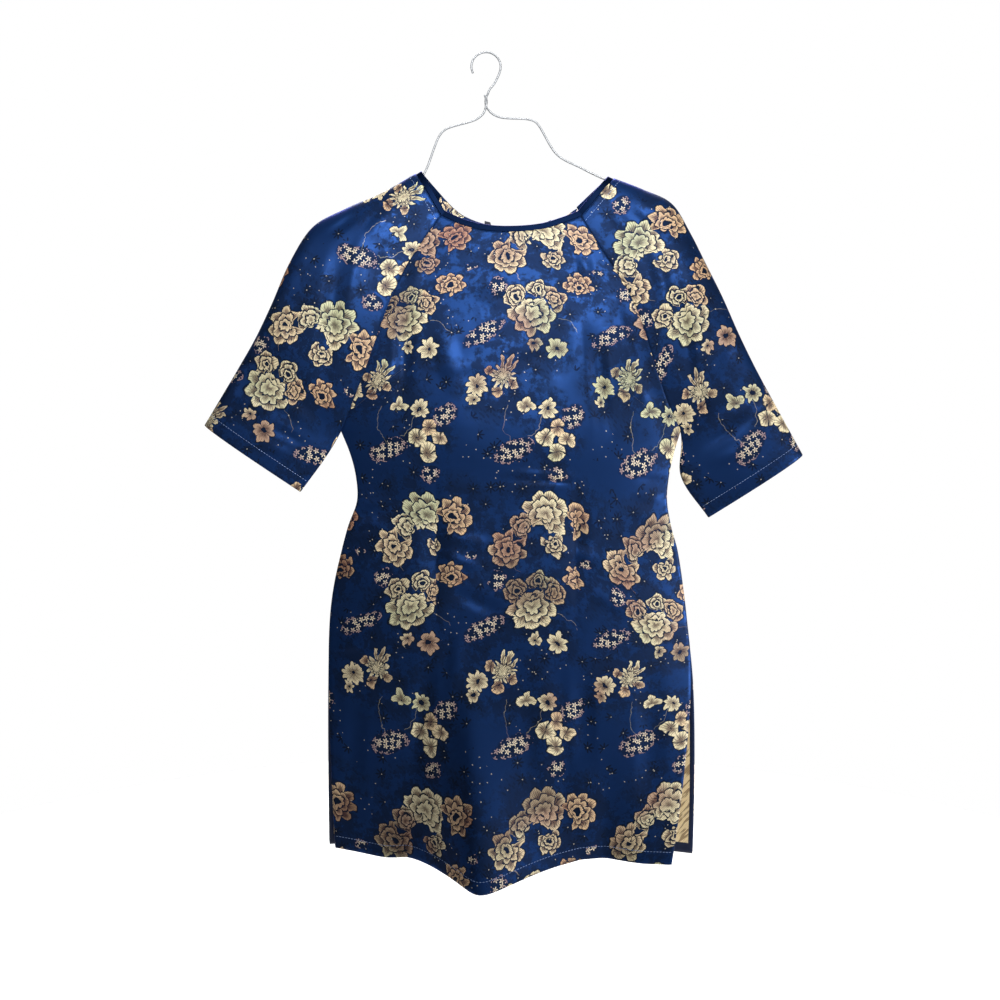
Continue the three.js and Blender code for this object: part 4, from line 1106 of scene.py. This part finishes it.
band_edge, band_below = neck_ring()
upward = band_edge - band_below
upward /= np.linalg.norm(upward, axis=1, keepdims=True)
weight = np.ones(BAND_EVENED) / BAND_EVENED
padded = np.pad(upward, ((BAND_EVENED // 2, BAND_EVENED // 2), (0, 0)), mode="edge")
upward = np.stack([np.convolve(padded[:, i], weight, mode="valid") for i in range(3)], axis=-1)
upward /= np.linalg.norm(upward, axis=1, keepdims=True)
rise = np.linspace(SEAM + BAND_WIDTH, SEAM, BAND_ROWS)[:, None, None]
band = band_edge[None] + upward[None] * rise
band_cut = np.stack([lengths(band, 1), lengths(band, 0)], axis=-1)
band_piece = cloth("neck_band_cloth", band, band_cut, [BAND], thickness=CLOTH)
declare(band_piece, band, "neck_band", 2 * BAND_WIDTH)

# ---- facings, zip tapes and label --------------------------------------------------------
# Inside the back neck lie the woven tapes of the zip with their coils, a facing of the
# brocade and a blank ribbon label, layer on layer.

TAPE_THICK = 1.0 * MM
TAPE_BEHIND = CLOTH / 2 + SEAM + TAPE_THICK / 2
FACING_BEHIND = TAPE_BEHIND + TAPE_THICK + SEAM
LABEL_BEHIND = FACING_BEHIND + TAPE_THICK + SEAM
TAPE_SHOWN = 2.2 * MM
TAPE_HIDDEN = 6 * MM
TAPE_ABOVE_BAND = 5 * MM
TAPE_FOOT_Z = -0.560
FACING_DEPTH = 38 * MM
FACING_INSET = 5 * MM
LABEL_SIZE = (24 * MM, 22 * MM)
LABEL_FROM_OPENING = 9 * MM


def inside_of(grid, row, column, depth):
    """Points of a sheet between its grid points, moved off it to the inside of the dress:
    each is blended from the two rows and the two columns beside it."""
    r = np.clip(np.floor(row).astype(int), 0, grid.shape[0] - 2)
    c = np.clip(np.floor(column).astype(int), 0, grid.shape[1] - 2)
    along = (column - c)[..., None]
    near = lerp(grid[r, c], grid[r, c + 1], along)
    far = lerp(grid[r + 1, c], grid[r + 1, c + 1], along)
    outward = np.cross(grid[r, c + 1] - grid[r, c], far - near)
    outward /= np.linalg.norm(outward, axis=-1, keepdims=True)
    outward *= np.where(outward[..., 1:2] < 0, -1, 1)
    return lerp(near, far, (row - r)[..., None]) - outward * depth


def at_edge(grid, below_top, past, depth):
    """Points below the top of the back opening's edge and past that edge, in metres."""
    drop = np.linalg.norm(np.diff(grid[:, -1], axis=0), axis=1)
    down = np.concatenate([[0], np.cumsum(drop)])
    row = np.interp(below_top, down, np.arange(len(down)))
    row = row + np.minimum(below_top, 0) / drop[0]
    near = np.clip(np.round(row).astype(int), 0, len(grid) - 1)
    step = np.linalg.norm(grid[near, -1] - grid[near, -2], axis=-1)
    return inside_of(grid, row, grid.shape[1] - 1 + past / step, depth)


def lining(name, grid, material, node, start=(0.0, 0.0)):
    """A sheet sewn inside the dress in place of its solid, with its flat cut as its map."""
    flat = np.stack([lengths(grid, 1), -lengths(grid, 0)], axis=-1) - np.array(start)
    piece = cloth(name, grid, flat, [material], thickness=TAPE_THICK)
    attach(piece, "dress")
    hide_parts(node)
    return piece


def ribbed_cloth(name, color, dark, period, roughness):
    """A ribbed woven tape: its colour darkens between the ribs, which run along X."""
    material, tree, shader = new_material(name)
    place = put(tree, "ShaderNodeTexCoord", out=3)
    share = maths(tree, "MULTIPLY_ADD", wave(tree, parts(tree, place)[2], period), 0.5, 0.5)
    tree.links.new(mixed(tree, share, dark, color, "RGBA"), shader.inputs["Base Color"])
    relief = tree.nodes.new("ShaderNodeBump")
    relief.inputs["Strength"].default_value = 0.4
    relief.inputs["Distance"].default_value = 0.0002
    tree.links.new(share, relief.inputs["Height"])
    tree.links.new(relief.outputs[0], shader.inputs["Normal"])
    shader.inputs["Roughness"].default_value = roughness
    return material


TAPE = ribbed_cloth("tape_weave", (0.020, 0.024, 0.045, 1), (0.008, 0.009, 0.018, 1), 0.0012, 0.8)
LABEL = ribbed_cloth("label_ribbon", (0.86, 0.84, 0.80, 1), (0.70, 0.68, 0.64, 1), 0.0008, 0.55)
# The linings' grids, as rows and columns.
TAPE_GRID, FACING_GRID, LABEL_GRID = (150, 7), (14, 50), (8, 9)
FACING_START = (0.06, 0.0)


def spans(grid, rows, columns):
    """A grid with one value for each row and one for each column, as two arrays."""
    return np.broadcast_to(rows[:, None], grid).copy(), np.broadcast_to(columns, grid).copy()



tape_edges = {}
for side, grid in backs.items():
    top = 1 * MM - BAND_WIDTH
    foot = float(np.interp(-TAPE_FOOT_Z, -grid[:, -1, 2], lengths(grid, 0)[:, -1]))
    below_top = np.linspace(top - TAPE_ABOVE_BAND, foot, TAPE_GRID[0])
    edge_z = at_edge(grid, below_top, np.zeros(TAPE_GRID[0]), 0.0)[:, 2]
    gap = np.maximum(read(BACK_OPENING, "gap", edge_z), 0)
    shown = np.clip(gap / 2 - 1.5 * MM, -0.05 * MM, TAPE_SHOWN)
    drop, share = spans(TAPE_GRID, below_top, np.linspace(0, 1, TAPE_GRID[1]))
    past = shown[:, None] - share * (shown[:, None] + TAPE_HIDDEN)
    tape = at_edge(grid, drop, past, TAPE_BEHIND)
    tape_edges[side] = (tape[:, 0], tape[:, 0] - tape[:, 1])
    piece = lining(
        f"zip_tape_{side}_cloth", tape, TAPE, f"zip_tape_{side}",
    )

    width = float(lengths(grid[:1], 1)[0, -1])
    inward = np.linspace(-width + FACING_INSET, -TAPE_HIDDEN - SEAM, FACING_GRID[1])
    drop, past = spans(FACING_GRID, np.linspace(top, FACING_DEPTH, FACING_GRID[0]), inward)
    facing = at_edge(grid, drop, past, FACING_BEHIND)
    piece = lining(
        f"neck_facing_{side}_cloth", facing, FACE, f"neck_facing_{side}",
        start=FACING_START,
    )

drop = np.linspace(0.2 * MM, LABEL_SIZE[1], LABEL_GRID[0])
past = -LABEL_FROM_OPENING - np.linspace(0, LABEL_SIZE[0], LABEL_GRID[1])
label = at_edge(backs["left"], *spans(LABEL_GRID, drop, past), LABEL_BEHIND)
piece = lining("neck_label_cloth", label, LABEL, "neck_label")

# The zip's coil along both tapes where it is open: one small tooth for each turn.
TOOTH = np.array([1.5, 1.1, 0.8]) * MM
TOOTH_PITCH = 1.5 * MM
TEETH_TOP_Z, TEETH_FOOT_Z = -0.222, -0.374


def joined(name, corners, faces, material):
    """One mesh of many like parts: each has its own corners and the same faces."""
    count, each, _ = corners.shape
    mesh = bpy.data.meshes.new(name)
    all_faces = [[i * each + k for k in face] for i in range(count) for face in faces]
    mesh.from_pydata(corners.reshape(-1, 3).tolist(), [], all_faces)
    mesh.materials.append(material)
    mesh.update()
    made = bpy.data.objects.new(name, mesh)
    bpy.context.scene.collection.objects.link(made)
    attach(made, "dress")
    return made


def tooth_corners(edge, outward):
    """Corners of the teeth along a tape's edge: each tooth is a bar across the edge, and
    narrows to its ends."""
    kept = (edge[:, 2] < TEETH_TOP_Z) & (edge[:, 2] > TEETH_FOOT_Z)
    line, away = edge[kept], outward[kept]
    down = np.concatenate([[0], np.cumsum(np.linalg.norm(np.diff(line, axis=0), axis=1))])
    at = np.arange(0, down[-1], TOOTH_PITCH)
    centre = np.stack([np.interp(at, down, line[:, i]) for i in range(3)], axis=-1)
    across = np.stack([np.interp(at, down, away[:, i]) for i in range(3)], axis=-1)
    across /= np.linalg.norm(across, axis=1, keepdims=True)
    way = np.gradient(centre, axis=0)
    way /= np.linalg.norm(way, axis=1, keepdims=True)
    up = np.cross(across, way)
    shape = np.array([(a, b, c) for a in (-1, 0, 1) for b, c in ((-1, -1), (1, -1), (1, 1), (-1, 1))])
    shape = shape * np.where(np.abs(shape[:, :1]) > 0.5, (1, 0.62, 0.62), (1, 1, 1)) * TOOTH / 2
    axes = np.stack([across, up, way], axis=1)
    return centre[:, None] + np.einsum("ks,nsj->nkj", shape, axes)


TOOTH_FACES = [(3, 2, 1, 0), (8, 9, 10, 11)]
TOOTH_FACES += [(r + k, r + (k + 1) % 4, r + 4 + (k + 1) % 4, r + 4 + k) for r in (0, 4) for k in range(4)]


def nylon(name, color):
    """Drawn nylon: dark, smooth and slightly mottled."""
    material, tree, shader = new_material(name)
    place = put(tree, "ShaderNodeTexCoord", out=3)
    mottle = put(tree, "ShaderNodeTexNoise", place, None, 700.0, 2.0)
    darker = tuple(0.6 * c for c in color[:3]) + (1,)
    tree.links.new(mixed(tree, mottle, color, darker, "RGBA"), shader.inputs["Base Color"])
    shader.inputs["Roughness"].default_value = 0.35
    return material


COIL = nylon("zip_coil", (0.030, 0.036, 0.075, 1))
for side, (edge, outward) in tape_edges.items():
    corners = tooth_corners(edge, outward)
    teeth = joined(f"zip_coil_{side}", corners, TOOTH_FACES, COIL)

# ---- zip slider and pull -----------------------------------------------------------------
# A painted metal slider with its bail, and a drop-shaped pull that hangs from the bail.


def nodes_material(name, material):
    """Gives a solid that stays its own material."""
    solid = bpy.data.objects[name]
    solid.data.materials.clear()
    solid.data.materials.append(material)


def painted_metal(name, color):
    """Painted metal with paler, smoother worn spots."""
    material, tree, shader = new_material(name)
    place = put(tree, "ShaderNodeTexCoord", out=3)
    worn = put(tree, "ShaderNodeTexNoise", place, None, 900.0, 4.0)
    share = stepped(tree, worn, 0.58, 0.70)
    tree.links.new(mixed(tree, share, color, (0.35, 0.36, 0.40, 1), "RGBA"), shader.inputs["Base Color"])
    tree.links.new(mixed(tree, share, 0.38, 0.28), shader.inputs["Roughness"])
    tree.links.new(share, shader.inputs["Metallic"])
    return material


ZIP_METAL = painted_metal("zip_enamel", (0.014, 0.022, 0.085, 1))
nodes_material("zip_slider", ZIP_METAL)
nodes_material("zip_pull", ZIP_METAL)

# ---- stitching ---------------------------------------------------------------------------
# Pale blue machine stitches hold the turned hems and the sleeves' neck edges.

HEM_STITCHES = 14.5 * MM
CUFF_STITCHES = 15.5 * MM
NECK_STITCHES = 8 * MM
STITCH = {"pitch": 3.8 * MM, "length": 2.7 * MM, "radius": 0.27 * MM, "sides": 6}
STITCH_SHARES = np.array([0.0, 0.16, 0.5, 0.84, 1.0])
STITCH_SIZES = np.array([0.25, 0.85, 1.0, 0.85, 0.25])
THREAD_TWIST = 0.6 * MM


def line_on(grid, below_top):
    """A line across a sheet at a length below its top in each column, with its normals
    turned outward."""
    down = lengths(grid, 0)
    normal = normals_of(grid)
    middle = normal[len(normal) // 2, normal.shape[1] // 4]
    normal = normal * (1 if middle[1] * grid[len(grid) // 2, grid.shape[1] // 4, 1] > 0 else -1)
    at = below_top if np.ndim(below_top) else np.full(grid.shape[1], below_top)
    found = [
        [np.interp(at[j], down[:, j], part[:, j, i]) for i in range(3)]
        for part in (grid, normal) for j in range(grid.shape[1])
    ]
    found = np.array(found).reshape(2, grid.shape[1], 3)
    return found[0], found[1] / np.linalg.norm(found[1], axis=1, keepdims=True)


def stitches(name, lines, material, pitch=STITCH["pitch"]):
    """Rows of stitches along lines on the cloth: each stitch is a thread, thin at its ends,
    that lies half sunk in the outer face."""
    sides, faces, all_corners = STITCH["sides"], [], []
    turn = np.linspace(0, 2 * math.pi, sides, endpoint=False)
    for line, outward in lines:
        along = np.concatenate([[0], np.cumsum(np.linalg.norm(np.diff(line, axis=0), axis=1))])
        starts = np.arange(pitch / 2, along[-1] - STITCH["length"], pitch)
        at = starts[:, None] + STITCH_SHARES * STITCH["length"]
        centre = np.stack([np.interp(at, along, line[:, i]) for i in range(3)], axis=-1)
        off = np.stack([np.interp(at, along, outward[:, i]) for i in range(3)], axis=-1)
        way = np.gradient(centre, axis=1)
        way /= np.linalg.norm(way, axis=2, keepdims=True)
        aside = np.cross(way, off)
        ring = aside[:, :, None] * np.cos(turn)[:, None] + off[:, :, None] * np.sin(turn)[:, None]
        size = (STITCH_SIZES * STITCH["radius"])[None, :, None, None]
        corners = (centre + off * CLOTH / 2)[:, :, None] + ring * size
        all_corners.append(corners.reshape(len(starts), -1, 3))
    for r in range(len(STITCH_SHARES) - 1):
        for k in range(sides):
            a, b = r * sides + k, r * sides + (k + 1) % sides
            faces.append((a, b, b + sides, a + sides))
    last = (len(STITCH_SHARES) - 1) * sides
    faces += [tuple(range(sides))[::-1], tuple(range(last, last + sides))]
    made = joined(name, np.concatenate(all_corners), faces, material)
    made.data.polygons.foreach_set("use_smooth", np.ones(len(made.data.polygons), dtype=bool))
    return made


def thread(name, color, dark):
    """Twisted sewing thread: two tones in narrow slanting bands."""
    material, tree, shader = new_material(name)
    place = put(tree, "ShaderNodeTexCoord", out=3)
    slant = vectors(tree, "DOT_PRODUCT", place, (1.0, 0.4, 1.3), out=1)
    share = maths(tree, "MULTIPLY_ADD", wave(tree, slant, THREAD_TWIST), 0.5, 0.5)
    tree.links.new(mixed(tree, share, color, dark, "RGBA"), shader.inputs["Base Color"])
    shader.inputs["Roughness"].default_value = 0.5
    return material


def line_between(grid, start, end, count=60):
    """A straight line over a panel between two places, as x and z: each point's depth is
    read along the panel's row at its height."""
    ends = np.array([start, end]) * MM
    x, z = np.linspace(ends[0], ends[1], count).T
    columns = range(grid.shape[1])
    across = np.array([np.interp(-z, -grid[:, j, 2], grid[:, j, 0]) for j in columns])
    depth = np.array([np.interp(-z, -grid[:, j, 2], grid[:, j, 1]) for j in columns])
    y = np.array([np.interp(x[i], across[:, i], depth[:, i]) for i in range(count)])
    away = np.hypot(grid[:, :, 0, None] - x, grid[:, :, 2, None] - z).reshape(-1, count)
    outward = normals_of(grid).reshape(-1, 3)[np.argmin(away, axis=0)]
    outward *= np.where(outward[:, 1:2] > 0, -1, 1)
    return np.stack([x, y, z], axis=-1), outward


def hem_line(grid, above):
    """The line that lies a length above a sheet's foot."""
    return line_on(grid, lengths(grid, 0)[-1] - above)


THREAD = thread("hem_thread", (0.30, 0.42, 0.72, 1), (0.14, 0.22, 0.46, 1))
# The dark dart thread is painted shade: it darkens the line of each bust dart's groove.
DART_SHADE_THREAD = thread("dart_groove_shade", (0.012, 0.022, 0.070, 1), (0.006, 0.010, 0.030, 1))
stitches("front_hem_stitches", [hem_line(front, HEM_STITCHES)], THREAD)
stitches("back_hem_stitches", [hem_line(grid, HEM_STITCHES) for grid in backs.values()], THREAD)
stitches("cuff_stitches", [hem_line(grid, CUFF_STITCHES) for grid in sleeves.values()], THREAD)
stitches("neck_stitches", [line_on(grid, NECK_STITCHES) for grid in sleeves.values()], THREAD)
# The bust darts run in from the side seams, each from its tip, as x and z in millimetres. Dark stitches
# along them are painted shade: they stand for the shadow in each dart's sewn groove.
BUST_DARTS = [((-100, -394), (-163, -444)), ((180, -428), (232, -470))]
DART_PITCH = 2.9 * MM
dart_shade_lines = [line_between(front, start, end) for start, end in BUST_DARTS]
stitches("bust_darts", dart_shade_lines, DART_SHADE_THREAD, pitch=DART_PITCH)

# ---- the hanger --------------------------------------------------------------------------
# One length of coated steel wire: the hook, two strands down to the shoulders, and the bar
# across under them.

WIRE = 2.6 * MM
HOOK_INSIDE = 17 * MM
HOOK_RADIUS = HOOK_INSIDE + WIRE / 2
HOOK_FROM, HOOK_TO = math.radians(205), math.radians(-10)
NECK_TOP_Z = -0.052
# Where the two strands are twisted: the neck's foot and top, and the length of one twist.
TWIST_TOP_Z, TWIST_FOOT_Z, TWIST_LENGTH = -0.040, -0.071, 0.020
STRAND_REACH = 4 * MM
PATH_STEPS, WIRE_SIDES = 14, 14
HANGER_FRAME = np.array([
    (1.6, -68), (14, -79), (54, -83), (63, -87), (89, -127), (118, -143), (147, -157),
    (196, -175), (228, -193), (240, -211), (226, -228), (150, -230.5), (0, -235),
    (-130, -239), (-206, -241), (-217, -231), (-208, -218), (-174, -200), (-125, -178.5),
    (-82, -157), (-75, -146), (-58, -103), (-50, -95), (-11, -82), (-1.6, -72),
]) * MM


def smooth_path(points, steps):
    """A centripetal Catmull-Rom curve through points: each stretch is blended from three
    straight runs, spaced by the square root of the distances."""
    points = np.concatenate([[2 * points[0] - points[1]], points, [2 * points[-1] - points[-2]]])
    t = np.linspace(0, 1, steps, endpoint=False)[:, None]
    out = []
    for a, b, c, d in zip(points, points[1:], points[2:], points[3:]):
        one = math.sqrt(np.linalg.norm(b - a))
        two = one + math.sqrt(np.linalg.norm(c - b))
        three = two + math.sqrt(np.linalg.norm(d - c))
        at = lerp(one, two, t)
        ab = (one - at) / one * a + at / one * b
        bc = (two - at) / (two - one) * b + (at - one) / (two - one) * c
        cd = (three - at) / (three - two) * c + (at - two) / (three - two) * d
        abc = (two - at) / two * ab + at / two * bc
        bcd = (three - at) / (three - one) * bc + (at - one) / (three - one) * cd
        out.append((two - at) / (two - one) * abc + (at - one) / (two - one) * bcd)
    return np.concatenate(out + [points[-2:-1]])


def tube(name, path, radius, sides, material):
    """A round tube along a path, with domed ends: a ring at each point, in the plane of
    the path's normal and binormal."""
    along = np.gradient(path, axis=0)
    along /= np.linalg.norm(along, axis=1, keepdims=True)
    aside = np.cross(along, np.array([0.0, 1.0, 0.0]))
    aside /= np.linalg.norm(aside, axis=1, keepdims=True)
    other = np.cross(along, aside)
    angle = np.linspace(0, 2 * math.pi, sides, endpoint=False)
    ring = aside[:, None] * np.cos(angle)[None, :, None] + other[:, None] * np.sin(angle)[None, :, None]
    points = (path[:, None] + radius * ring).reshape(-1, 3)
    index = np.arange(len(path) * sides).reshape(len(path), sides)
    turned = np.roll(index, -1, axis=1)
    quads = np.stack([index[:-1], turned[:-1], turned[1:], index[1:]], axis=-1).reshape(-1, 4)
    tips = np.stack([path[0] - along[0] * radius * 0.6, path[-1] + along[-1] * radius * 0.6])
    first, last = len(points), len(points) + 1
    caps = [(first, turned[0, i], index[0, i]) for i in range(sides)]
    caps += [(last, index[-1, i], turned[-1, i]) for i in range(sides)]
    mesh = bpy.data.meshes.new(name)
    mesh.from_pydata(np.concatenate([points, tips]).tolist(), [], quads.tolist() + caps)
    mesh.materials.append(material)
    mesh.polygons.foreach_set("use_smooth", np.ones(len(mesh.polygons), dtype=bool))
    mesh.update()
    piece = bpy.data.objects.new(name, mesh)
    bpy.context.scene.collection.objects.link(piece)
    return piece


def hanger_path():
    """The wire's middle line: the hook's arc, then the frame, then the other strand."""
    angle = np.linspace(HOOK_FROM, HOOK_TO, 9)
    hook = np.stack([HOOK_RADIUS * np.cos(angle), HOOK_RADIUS * np.sin(angle) - HOOK_INSIDE], axis=-1)
    start = np.array([(11, -37), (3.2, -48)]) * MM
    top = np.array([(-HANGER_FRAME[0, 0], NECK_TOP_Z)])
    flat = np.concatenate([hook, start, HANGER_FRAME, top])
    return np.stack([flat[:, 0], np.zeros(len(flat)), flat[:, 1]], axis=-1)


def coated_wire():
    """Zinc-coated wire: pale grey metal, mottled and a little uneven."""
    material, tree, shader = new_material("hanger_wire")
    place = put(tree, "ShaderNodeTexCoord", out=3)
    mottle = put(tree, "ShaderNodeTexNoise", place, None, 260.0, 4.0)
    color = mixed(tree, mottle, (0.36, 0.37, 0.39, 1), (0.20, 0.21, 0.22, 1), "RGBA")
    tree.links.new(color, shader.inputs["Base Color"])
    tree.links.new(mixed(tree, mottle, 0.36, 0.52), shader.inputs["Roughness"])
    shader.inputs["Metallic"].default_value = 0.35
    return material


wire_path = smooth_path(hanger_path(), PATH_STEPS)
# The two strands are twisted once round each other under the hook.
in_neck = (np.abs(wire_path[:, 0]) < STRAND_REACH) & (wire_path[:, 2] < TWIST_TOP_Z)
twist = 2 * math.pi * np.clip((wire_path[:, 2] - TWIST_FOOT_Z) / TWIST_LENGTH, 0, 1) * in_neck
wire_path[:, 1] = wire_path[:, 0] * np.sin(twist)
wire_path[:, 0] *= np.cos(twist)
hanger = tube("hanger_wire", wire_path, WIRE / 2, WIRE_SIDES, coated_wire())
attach(hanger, "dress")
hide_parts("hanger")

# ---- camera, floor and light -------------------------------------------------------------
# A pale floor lies under the dress, in a white room. The key light stands over the camera,
# a side light low on the right and a weak fill on the left, one light behind the dress, and
# one over the floor.

CAMERA_AWAY = 1.45
SEEN_WIDTH = 1.25
SENSOR = 36.0
camera = bpy.data.objects.new("camera", bpy.data.cameras.new("camera"))
camera.data.sensor_width = SENSOR
camera.data.lens = SENSOR * CAMERA_AWAY / SEEN_WIDTH
camera.data.shift_y = -0.07
camera.location = (0.0175, -CAMERA_AWAY, -0.471)
camera.rotation_euler = (math.pi / 2, 0, 0)
bpy.context.scene.collection.objects.link(camera)
bpy.context.scene.camera = camera

FLOOR_Z = -1.45
FLOOR_RADIUS = 1.7
FLOOR_MIDDLE = (0.0, 0.35)
FLOOR_SIDES, FLOOR_RINGS = 96, 8


def studio_floor():
    """A round pale floor: rings of points round its middle."""
    angle = np.linspace(0, 2 * math.pi, FLOOR_SIDES, endpoint=False)
    radius = np.linspace(0.1, 1, FLOOR_RINGS) * FLOOR_RADIUS
    x = FLOOR_MIDDLE[0] + radius[:, None] * np.cos(angle)
    y = FLOOR_MIDDLE[1] + radius[:, None] * np.sin(angle)
    points = np.stack([x, y, np.full(x.shape, FLOOR_Z)], axis=-1).reshape(-1, 3)
    index = np.arange(len(points)).reshape(FLOOR_RINGS, FLOOR_SIDES)
    turned = np.roll(index, -1, axis=1)
    rings = np.stack([index[:-1], index[1:], turned[1:], turned[:-1]], axis=-1).reshape(-1, 4)
    mesh = bpy.data.meshes.new("studio_floor")
    mesh.from_pydata(points.tolist(), [], rings.tolist() + [index[0].tolist()])
    material, _, shader = new_material("studio_white")
    shader.inputs["Base Color"].default_value = (0.93, 0.93, 0.93, 1)
    shader.inputs["Roughness"].default_value = 0.9
    mesh.materials.append(material)
    floor = bpy.data.objects.new("studio_floor", mesh)
    bpy.context.scene.collection.objects.link(floor)
    return floor


studio_floor()


def soft_light(name, place, aim, size, power, spread=180):
    """A round area light at place, facing aim, that spreads over so many degrees."""
    light = bpy.data.objects.new(name, bpy.data.lights.new(name, "AREA"))
    light.data.shape = "DISK"
    light.data.size = size
    light.data.energy = power
    light.data.spread = math.radians(spread)
    way = np.array(aim) - np.array(place)
    light.location = place
    light.rotation_euler = (
        math.acos(-way[2] / np.linalg.norm(way)), 0.0, math.atan2(way[1], way[0]) - math.pi / 2,
    )
    bpy.context.scene.collection.objects.link(light)


soft_light("key", (0.30, -1.75, 0.32), (0.03, 0, -0.08), 0.8, 4.4, 42)
soft_light("side", (1.80, -0.72, -0.66), (0.05, 0, -0.86), 0.5, 3.4, 46)
soft_light("fill", (-1.5, -1.2, 0.45), (-0.1, 0, -0.28), 0.8, 1.6, 90)
soft_light("back", (-0.5, 1.9, 1.40), (0, 0, -0.55), 0.8, 6, 60)
soft_light("floor", (0, 1.7, 1.7), (0, 1.1, -1.45), 2.2, 80, 110)
world = bpy.data.worlds.new("studio")
world.use_nodes = True
seen = world.node_tree.nodes["Background"]
seen.inputs["Color"].default_value = (1, 1, 1, 1)
# The room is white, and gives the dress only a little light.
ray = world.node_tree.nodes.new("ShaderNodeLightPath")
room = maths(world.node_tree, "MULTIPLY_ADD", ray.outputs["Is Camera Ray"], 0.95, 0.05)
world.node_tree.links.new(room, seen.inputs["Strength"])
bpy.context.scene.world = world
bpy.context.scene.view_settings.view_transform = "Standard"
